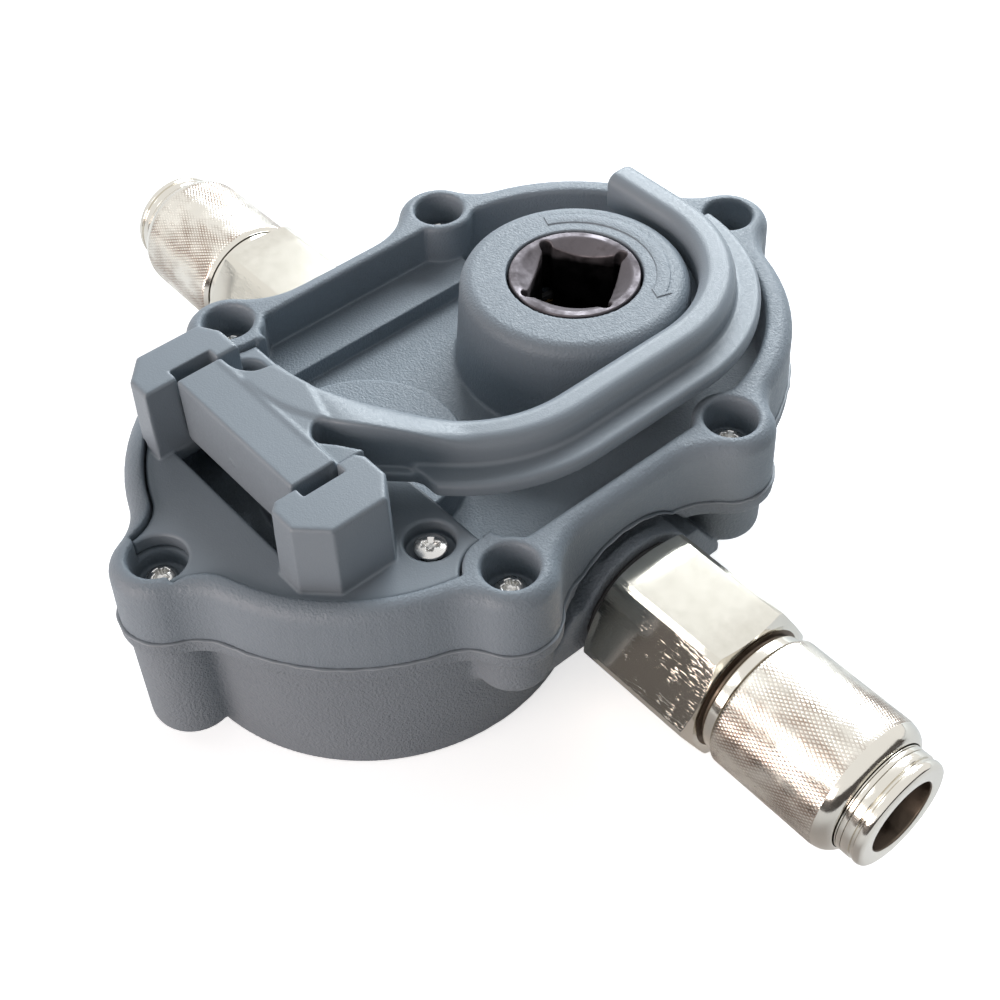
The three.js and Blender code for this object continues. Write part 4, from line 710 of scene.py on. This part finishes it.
def hanger_hook():
    g = Grid((-18.2, -41.2, BLOCK_Z), (29.6, 50.8, EAR_Z), FINE * 0.85)
    X, Y, Z = g.X, g.Y, g.Z
    side, past = along(X, Y, hook_line())
    half = BEAD_W / 2
    # the bead rises over the last stretch to the root
    t = np.clip((-Y - 14) / 14, 0, 1)
    top = BEAD_Z + (EAR_Z - BEAD_Z) * t * t * (3 - 2 * t)
    bead = slab(np.abs(side) - half, Z, HOOK_Z, 99, 0.6)
    bead = both(bead, Z - top, 2.1) * (1 - t) + both(bead, Z - top, 0.6) * t
    bead = both(bead, past, 0.8)
    # the lip runs on the outer side, from behind the boss to the lower bend
    lip = np.maximum(side - LIP_W, -side)
    lip = slab(lip, Z, HOOK_Z, LIP_Z, 0.4, 0.9)
    y_end, x_end = -22.3, 1.0
    lip = both(lip, np.maximum(y_end - Y, np.where(Y > AXIS_Y, x_end - X, -9)), 0.6)
    rib = slab(np.maximum(side - half - 1.6, -side), Z, HOOK_Z, LIP_Z - 0.6, 0.3, 0.5)
    rib = np.maximum(rib, np.maximum(Y + 17, 7 - X))
    s = join(join(bead, rib, 0.4), lip, 0.7)
    block = rect(Y, Z, BLOCK_Y[0], BLOCK_Y[1], BLOCK_Z + 2, EAR_Z, 0.5)
    foot = rect(Y, Z, BLOCK_Y[0], BLOCK_Y[1], BLOCK_Z, EAR_Z - 4, 2.2)
    block = np.minimum(np.maximum(block, BLOCK_Z + 2.2 - Z), foot)
    block = both(block, np.maximum(BLOCK_X[0] - X, X - BLOCK_X[1]), 0.35)
    # root: the corners between the block's back and the arm, level with both
    x0, y1 = BLOCK_X[0] + 0.4, BLOCK_Y[1]
    root = [(x0, y1 - 1)]
    root += bezier((x0, y1 - 0.1), (-12.6, y1), (-11.2, y1 + 1), (-10.2, y1 + 2.4))
    root += bezier(root[-1], (-9.4, y1 + 3.6), (-9.6, y1 + 4.9), (-7.5, y1 + 5))[1:]
    root += [(-2.8, y1 + 6), (4.6, y1 + 3.9)]
    root += bezier(root[-1], (3.6, y1 + 2.6), (4, y1 + 0.6), (7.6, y1 - 0.1))[1:]
    root = slab(polygon(X, Y, root + [(7.6, y1 - 1)]), Z, HOOK_Z, EAR_Z, 0.4, 0.5)
    # shallow web that fills the corner on the right of the root
    shelf = [(3.5, y1 - 1), (3.5, y1 + 0.2), (6.9, y1 + 0.9), (8.8, y1 + 2.5)]
    shelf += [(10.7, y1 + 3.7), (12.2, y1 + 4.7), (12.2, y1 - 1)]
    shelf = slab(polygon(X, Y, shelf), Z, HOOK_Z, EAR_Z - 1.1, 0.4, 0.3)
    s = join(join(join(s, root, 0.9), shelf, 0.5), block, 0.4)
    # ejector mark on the block's front, and the two pins
    mark = both(np.sqrt((X + 3.5) ** 2 + (Z - 42.1) ** 2) - 0.65, BLOCK_Y[0] - 0.14 - Y, 0.1)
    s = np.minimum(s, np.maximum(mark, Y - BLOCK_Y[0] - 0.4))
    for a, b in ((BLOCK_X[0] - 2.1, BLOCK_X[0] + 1), (BLOCK_X[1] - 1, BLOCK_X[1] + 2.2)):
        pin = np.sqrt((Y - HINGE_Y) ** 2 + (Z - HINGE_Z) ** 2) - PIN_R
        s = np.minimum(s, both(pin, np.maximum(a - X, X - b), 0.3))
    return mesh("hanger_hook_skin", *skin(g, s))


piece(hanger_hook(), "hook", GREY_SMOOTH, "smooth_grey", "hanger_hook")


# ---- turning arrow and parting line ---------------------------------------------------------
def turn_arrow():
    """A flat arrow raised on top of the boss, pointing the way the square is turned."""
    deg = math.radians
    tail, neck, tip = deg(157), deg(29), deg(22.5)
    plan = arc(0, AXIS_Y, 14.9, tail, neck, 40)
    for r, a in ((15.7, neck), (14, tip), (12.6, neck)):
        plan.append((r * math.cos(a), AXIS_Y + r * math.sin(a)))
    plan += arc(0, AXIS_Y, 12.9, neck, tail, 40)
    n = len(plan)
    mid = np.array(plan)
    unit = lambda v: v / np.linalg.norm(v, axis=1)[:, None]
    way = unit(unit(np.roll(mid, -1, 0) - mid) + unit(mid - np.roll(mid, 1, 0)))
    rows = []
    for grow, z in ((0.14, -0.1), (0.12, 0.02), (0, 0.15), (-0.05, 0.17)):
        out = mid + np.stack([-way[:, 1], way[:, 0]], 1) * grow
        rows.append(np.column_stack([out, np.full(n, BOSS_Z + z)]))
    faces = []
    for low in (0, n, 2 * n):
        high = low + n
        faces += [(low + i, high + i, high + (i + 1) % n, low + (i + 1) % n) for i in range(n)]
    top = 3 * n
    faces += [(top + i, top + n - 1 - i, top + n - 2 - i, top + i + 1) for i in range(41)]
    faces += [(top + 41, top + n - 42, top + 42)]
    obj = mesh("turn_arrow", np.concatenate(rows), faces)
    obj.data.set_sharp_from_angle(angle=deg(25))
    return obj


def parting_flash():
    """The thin fin of plastic squeezed out where the two housings meet."""
    mid = []
    line = outline()
    for a, b in zip(line, line[1:] + line[:1]):
        n = max(1, round(math.dist(a, b) / 0.5))
        dx, dy = b[0] - a[0], b[1] - a[1]
        mid += [(a[0] + dx * i / n, a[1] + dy * i / n) for i in range(n)]
    mid = np.array(mid)
    over = np.sqrt(np.maximum(ARCH_R**2 - mid[:, 1] ** 2, 0)) + PORT_Z
    level = np.maximum(PART_Z, np.where(np.abs(mid[:, 0]) > ARCH_X, over, 0))
    way = np.roll(mid, -1, 0) - np.roll(mid, 1, 0)
    way /= np.linalg.norm(way, axis=1)[:, None]
    side = np.stack([way[:, 1], -way[:, 0]], 1)
    run = np.cumsum(np.linalg.norm(np.roll(mid, -1, 0) - mid, axis=1))
    wavy = 0.06 * np.sin(run * 1.7) + 0.05 * np.sin(run * 0.43 + 1)
    n = len(mid)
    rows = []
    foot, edge = PROUD + 0.02, PROUD + 0.15
    for grow, z in ((0.0, -0.05), (foot, -0.05), (edge, 0.02), (foot, 0.09), (0.0, 0.1)):
        out = mid + side * (grow + wavy)[:, None] if grow else mid
        rows.append(np.column_stack([out, level + z]))
    faces = []
    for r in range(len(rows)):
        low, high = r * n, (r + 1) % len(rows) * n
        faces += [(low + i, low + (i + 1) % n, high + (i + 1) % n, high + i) for i in range(n)]
    return mesh("parting_flash", np.concatenate(rows), faces)


piece(turn_arrow(), "pump", GREY, "housing_grey")
piece(parting_flash(), "pump", FIN_HIGHLIGHT, "housing_grey")


# ---- drive socket -------------------------------------------------------------------------
def drive_socket():
    g = Grid((-10.5, 11.2, 26), (10.5, 32.3, BOSS_Z), FINE * 0.6)
    X, Y, Z = g.X, g.Y - AXIS_Y, g.Z
    r = np.sqrt(X * X + Y * Y)
    s = both(r - SOCKET_R, Z - BOSS_Z, 0.15)
    s = np.minimum(both(s, 34.2 - Z, 0.3), both(r - 8.2, np.maximum(26 - Z, Z - 40)))
    c, n = math.cos(SQUARE_TURN), math.sin(SQUARE_TURN)
    u, v = X * c + Y * n, Y * c - X * n
    h = SQUARE / 2
    hole = np.maximum(np.abs(u), np.abs(v)) - h
    relief = np.sqrt((np.abs(u) - h + 0.3) ** 2 + (np.abs(v) - h + 0.3) ** 2) - 1.0
    hole = join(hole, relief, 0.25)
    s = cut(s, both(hole, BOSS_Z - SQUARE_DEEP - Z), 0.15)
    lead = (r - (SOCKET_R - 1.25)) * 0.63 + (BOSS_Z - Z)
    s = cut(s, lead * 0.85, 0.12)
    return mesh("drive_socket_skin", *skin(g, s))


piece(drive_socket(), "drive", OILED_WITH_SHADE, "dark_steel", "drive_socket")


# ---- screws -------------------------------------------------------------------------------
def screw_skin():
    """Pan head with a cross recess, and its shank, standing on the head's seat."""
    g = Grid((-2.6, -2.6, -11.6), (2.6, 2.6, 2.4), 0.14)
    X, Y, Z = g.X, g.Y, g.Z
    r = np.sqrt(X * X + Y * Y)
    dome = np.sqrt(r * r + (Z + 1.3) ** 2) - 3.3
    head = both(both(r - 2.45, dome, 0.2), -Z, 0.15)
    shank = slab(r - 1.35, Z, -11.4, 0.5, 0.6)
    across, out = (Z - 0.8) * 0.08, (Z - 2) * 0.5
    arm = lambda a, b: np.maximum(np.abs(a) - 0.42 - across, np.abs(b) - 1.45 - out)
    cross = np.maximum(np.minimum(arm(X, Y), arm(Y, X)), 0.7 - Z)
    return skin(g, cut(np.minimum(head, shank), cross, 0.12))


SCREW = screw_skin()


def screws():
    seats = {f"housing_screw_{i + 1}": (*p, SCREW_SEAT) for i, p in enumerate(LOBES)}
    for side, k in (("right", 1), ("left", -1)):
        seats[f"plate_screw_{side}"] = (k * PLATE_SCREW[0], PLATE_SCREW[1], PLATE_SEAT)
    for i, (node, at) in enumerate(seats.items()):
        low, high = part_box(node)
        turn = 0.5 + 1.1 * i
        c, s = math.cos(turn), math.sin(turn)
        p = SCREW[0] @ np.array([[c, s, 0], [-s, c, 0], [0, 0, 1]])
        top = high.z / MM
        if "plate" in node:
            p = p * [1, 1, (high.z - low.z) / MM / 13.8]
            top = PLATE_Z - 0.75
        p = p + [at[0], at[1], 0]
        p[:, 2] += top - p[:, 2].max()
        piece(mesh(node + "_skin", p, SCREW[1]), "pump", STEEL, "steel", node)


screws()


# ---- couplings ----------------------------------------------------------------------------
def hexagon(per=24):
    """Angles and radii round a hexagon with slightly blunt corners."""
    apothem, corner = HEX_AF / 2, HEX_AF / 2 / math.cos(math.pi / 6)
    ang, rad = [], []
    for k in range(6):
        for i in range(per):
            a = -math.pi / 6 + math.pi / 3 * i / per
            r = apothem / math.cos(a)
            ang.append(math.radians(HEX_TURN) + math.pi / 6 + math.pi / 3 * k + a)
            rad.append(min(r, corner - 0.32))
    return np.array(ang), np.array(rad)


def coupling_body(name, k):
    """Hexagon with coned ends, neck, nose with its grooves, and the bore with its steps."""
    ang, rad = hexagon()
    n = len(ang)
    slope = math.tan(math.radians(22))
    base = HEX_AF / 2 - 0.2
    rows = []

    def row(r, x):
        rr = np.full(n, r) if np.isscalar(r) else r
        xx = np.full(n, x) if np.isscalar(x) else x
        rows.append(np.stack([xx, rr * np.cos(ang), rr * np.sin(ang) + PORT_Z], 1))

    def turned(profile, r):
        for x, q in rounded(profile, r):
            row(q, x)

    x0, x1 = HEX_X
    face = PORT_X + 0.3
    turned([(28, 0.01), (28, 8.0), (28.4, 8.2), (face, 8.2), (face, 9.6), (x0, 9.7)], 0.15)
    row(base - 0.15, x0)
    row(base, x0 + 0.06)
    rise = np.maximum(rad - base, 0) * slope
    row(rad - 0.03, x0 + 0.04 + rise * 0.97)
    row(rad, x0 + 0.14 + rise)
    for t in (0.25, 0.5, 0.75):
        row(rad, x0 + (x1 - x0) * t)
    row(rad, x1 - 0.14 - rise)
    row(rad - 0.03, x1 - 0.04 - rise * 0.97)
    row(base, x1 - 0.06)
    row(base - 0.15, x1)
    neck = [(x1, 10.3), (x1 + 0.05, 9.2), (x1 + 0.6, 9.1), (x1 + 0.65, 9.7), (x1 + 0.95, 10.0)]
    neck += [(SLEEVE_X[0] - 0.2, 10.0), (65, 9.9), (65, 8), (77.4, 8), (77.8, 8.5), (84.7, 8.5)]
    nose = [(84.75, NOSE_R), (84.98, NOSE_R), (84.98, 8.1), (85.84, 8.1), (85.84, NOSE_R)]
    nose += [(87.15, NOSE_R), (87.25, NOSE_R - 0.45), (87.7, NOSE_R - 0.45), (87.8, NOSE_R)]
    nose += [(END_X - 0.8, NOSE_R), (END_X - 0.25, NOSE_R - 0.2), (END_X, NOSE_R - 0.8)]
    bore = [(END_X, MOUTH_R + 0.25), (END_X - 0.25, MOUTH_R), (74.4, MOUTH_R), (74.4, 7.1)]
    bore += [(72.2, 7.1), (72.2, MOUTH_R), (69.5, MOUTH_R), (69.5, 4.4), (67, 4.4), (67, 6)]
    turned(neck + nose + bore + [(46.4, 6), (46.4, 0.01)], 0.2)
    points = np.concatenate(rows)
    points[:, 0] *= k
    faces = []
    for a in range(len(rows) - 1):
        for i in range(n):
            j = (i + 1) % n
            q = (a * n + i, a * n + j, (a + 1) * n + j, (a + 1) * n + i)
            faces.append(q if k > 0 else q[::-1])
    obj = mesh(name, points, faces)
    obj.data.set_sharp_from_angle(angle=math.radians(20))
    return obj


def coupling_sleeve(name, k):
    """Knurled sleeve with a chamfered back end and a rounded front shoulder."""
    a, b = SLEEVE_X
    profile = [(a, 10.2), (a, SLEEVE_R - 0.75), (a + 0.75, SLEEVE_R)]
    profile += [(x, SLEEVE_R) for x in (66, 70, 74, 78, b - 3.4, b - 2.9)]
    profile += [(b - 2.0, SLEEVE_R - 0.15), (b - 1.2, SLEEVE_R - 0.45), (b - 0.55, SLEEVE_R - 0.95)]
    profile += [(b - 0.12, SLEEVE_R - 1.6), (b, SLEEVE_BORE_R), (78, SLEEVE_BORE_R)]
    profile += [(78, 10.2), (a, 10.2)]
    profile = [(r, x * k) for x, r in rounded(profile, 0.35, 4)]
    obj = mesh(*lathe(name, profile if k > 0 else profile[::-1], 128))
    obj.data.set_sharp_from_angle(angle=math.radians(35))
    return obj


def stop_ring(name, k):
    """Split wire ring that keeps the sleeve on."""
    a, b = 85.02, 85.8
    section = [(b, RING_R), (a, RING_R), (a, NOSE_R), (b, NOSE_R), (b, RING_R), (a, RING_R)]
    profile = [(r, x * k) for x, r in rounded(section, 0.15)[1:-1]]
    return mesh(*lathe(name, profile[::-1] if k > 0 else profile, 96))


def finishes(obj, pick, *more):
    """Further materials; pick gives each face's number from its normal, distance out and radius."""
    for material in more:
        obj.data.materials.append(material)
    for f in obj.data.polygons:
        c = f.center / MM
        f.material_index = pick(f.normal, abs(c.x), math.hypot(c.y, c.z - PORT_Z))


def body_finish(normal, x, r):
    """1 on the hexagon's flats, 2 in the bore and the groove behind it (painted shade), 3 on the
    flat facing up.
    """
    if x > 46 and r < MOUTH_R + 0.15 or HEX_X[1] - 0.02 < x < HEX_X[1] + 0.66 and r < 10:
        return 2
    if abs(normal.x) < 0.1 and HEX_X[0] < x < HEX_X[1] and r > 10.5:
        return 3 if normal.z > 0.9 else 1
    return 0


def sleeve_finish(normal, x, r):
    """1 on the rolled band."""
    return int(SLEEVE_X[0] + 0.7 < x < SLEEVE_X[1] - 2.3 and r > SLEEVE_R - 0.3)


for side, k in SIDES.items():
    body = coupling_body(side + "_coupling_skin", k)
    piece(body, "pump", NICKEL, "nickel", side + "_coupling_body")
    finishes(body, body_finish, FLATS, BORE_SHADE, SATIN)
    piece(stop_ring(side + "_stop_ring_skin", k), "pump", NICKEL, "steel", side + "_stop_ring")
    sleeve = coupling_sleeve(side + "_sleeve_skin", k)
    piece(sleeve, side + "_sleeve", NICKEL, "nickel", side + "_coupling_sleeve")
    finishes(sleeve, sleeve_finish, KNURLED)


# ---- stage --------------------------------------------------------------------------------
FLOOR_GLOW = 0.64  # lifts the floor to white for the camera and keeps its shadow


def white_stage():
    """Soft world, white where it is seen or mirrored, over a plain pale floor."""
    scene = bpy.context.scene
    scene.view_settings.view_transform = "Standard"
    world = bpy.data.worlds.new("studio")
    scene.world = world
    world.use_nodes = True
    t = world.node_tree
    t.nodes.clear()
    out = t.nodes.new("ShaderNodeOutputWorld")
    mix = t.nodes.new("ShaderNodeMixShader")
    soft, white = t.nodes.new("ShaderNodeBackground"), t.nodes.new("ShaderNodeBackground")
    soft.inputs["Color"].default_value = (0.88, 0.94, 1, 1)
    soft.inputs["Strength"].default_value = 0.2
    path = t.nodes.new("ShaderNodeLightPath")
    a, b = t.nodes.new("ShaderNodeMath"), t.nodes.new("ShaderNodeMath")
    a.operation = b.operation = "MAXIMUM"
    t.links.new(path.outputs["Is Camera Ray"], a.inputs[0])
    t.links.new(path.outputs["Is Glossy Ray"], a.inputs[1])
    t.links.new(a.outputs[0], b.inputs[0])
    t.links.new(path.outputs["Is Transmission Ray"], b.inputs[1])
    t.links.new(b.outputs[0], mix.inputs[0])
    t.links.new(soft.outputs[0], mix.inputs[1])
    t.links.new(white.outputs[0], mix.inputs[2])
    t.links.new(mix.outputs[0], out.inputs[0])
    white.inputs["Color"].default_value = (1, 1, 1, 1)
    # floor
    size, z = 4000, -0.05
    square = [(-size, -size, z), (size, -size, z), (size, size, z), (-size, size, z)]
    obj = mesh("floor", square, [(0, 1, 2, 3)], False)
    m = bpy.data.materials.new("floor")
    m.use_nodes = True
    t = m.node_tree
    bsdf = t.nodes["Principled BSDF"]
    bsdf.inputs["Base Color"].default_value = (0.86, 0.86, 0.86, 1)
    bsdf.inputs["Roughness"].default_value = 0.9
    bsdf.inputs["Specular IOR Level"].default_value = 0.1
    glow = t.nodes.new("ShaderNodeEmission")
    glow.inputs["Color"].default_value = (1, 1, 1, 1)
    path = t.nodes.new("ShaderNodeLightPath")
    k = t.nodes.new("ShaderNodeMath")
    k.operation = "MULTIPLY"
    k.inputs[1].default_value = FLOOR_GLOW
    t.links.new(path.outputs["Is Camera Ray"], k.inputs[0])
    t.links.new(k.outputs[0], glow.inputs["Strength"])
    add = t.nodes.new("ShaderNodeAddShader")
    t.links.new(bsdf.outputs[0], add.inputs[0])
    t.links.new(glow.outputs[0], add.inputs[1])
    t.links.new(add.outputs[0], t.nodes["Material Output"].inputs["Surface"])
    obj.data.materials.append(m)


def lamp(name, at, size, power, colour=(1, 1, 1)):
    """A soft rectangular light, aimed at the part."""
    aim = (0, 0, 0.03)
    data = bpy.data.lights.new(name, "AREA")
    data.shape = "RECTANGLE"
    data.size, data.size_y = size
    data.energy = power
    data.color = colour
    obj = bpy.data.objects.new(name, data)
    bpy.context.scene.collection.objects.link(obj)
    obj.location = Vector(at)
    obj.rotation_mode = "QUATERNION"
    obj.rotation_quaternion = (Vector(aim) - Vector(at)).to_track_quat("-Z", "Y")


def flag():
    """A low dark screen round the set, seen only by reflections, as studios stand round metal."""
    radius, height = 155, 44
    plan = arc(0, 0, radius, math.radians(240), math.radians(390), 40)
    n = len(plan)
    points = [(x, y, z) for z in (0, height) for x, y in plan]
    obj = mesh("flag", points, [(i, i + 1, n + i + 1, n + i) for i in range(n - 1)], False)
    m = bpy.data.materials.new("flag")
    m.use_nodes = True
    bsdf = m.node_tree.nodes["Principled BSDF"]
    bsdf.inputs["Base Color"].default_value = (0.05, 0.042, 0.038, 1)
    bsdf.inputs["Roughness"].default_value = 0.9
    obj.data.materials.append(m)
    for ray in ("camera", "diffuse", "transmission", "volume_scatter", "shadow"):
        setattr(obj, "visible_" + ray, False)


white_stage()
flag()
lamp("back", (-0.41, 0.65, 0.51), (0.66, 0.44), 12.0, (0.88, 0.95, 1))
lamp("high left", (-0.37, -0.44, 0.68), (0.3, 0.3), 0.5)
lamp("left", (0.0, -0.87, 0.26), (0.9, 0.4), 6.6, (1, 0.87, 0.82))


# ---- camera -------------------------------------------------------------------------------
def camera():
    """Looks down on the low end of the part from above the front coupling."""
    data = bpy.data.cameras.new("camera")
    data.sensor_width = 36
    data.lens = 57.0
    data.clip_start, data.clip_end = 0.01, 20
    obj = bpy.data.objects.new("camera", data)
    bpy.context.scene.collection.objects.link(obj)
    bpy.context.scene.camera = obj
    yaw, pitch, roll = (math.radians(v) for v in (140.686, 47.23, 1.995))
    level = math.cos(pitch)
    ahead = Vector((math.cos(yaw) * level, math.sin(yaw) * level, -math.sin(pitch)))
    side = Vector((math.sin(yaw), -math.cos(yaw), 0))
    below = ahead.cross(side)
    right = math.cos(roll) * side + math.sin(roll) * below
    down = -math.sin(roll) * side + math.cos(roll) * below
    m = Matrix((right, -down, -ahead)).transposed().to_4x4()
    m.translation = Vector((142.32, -111.55, 202.58)) * MM
    obj.matrix_world = m


camera()
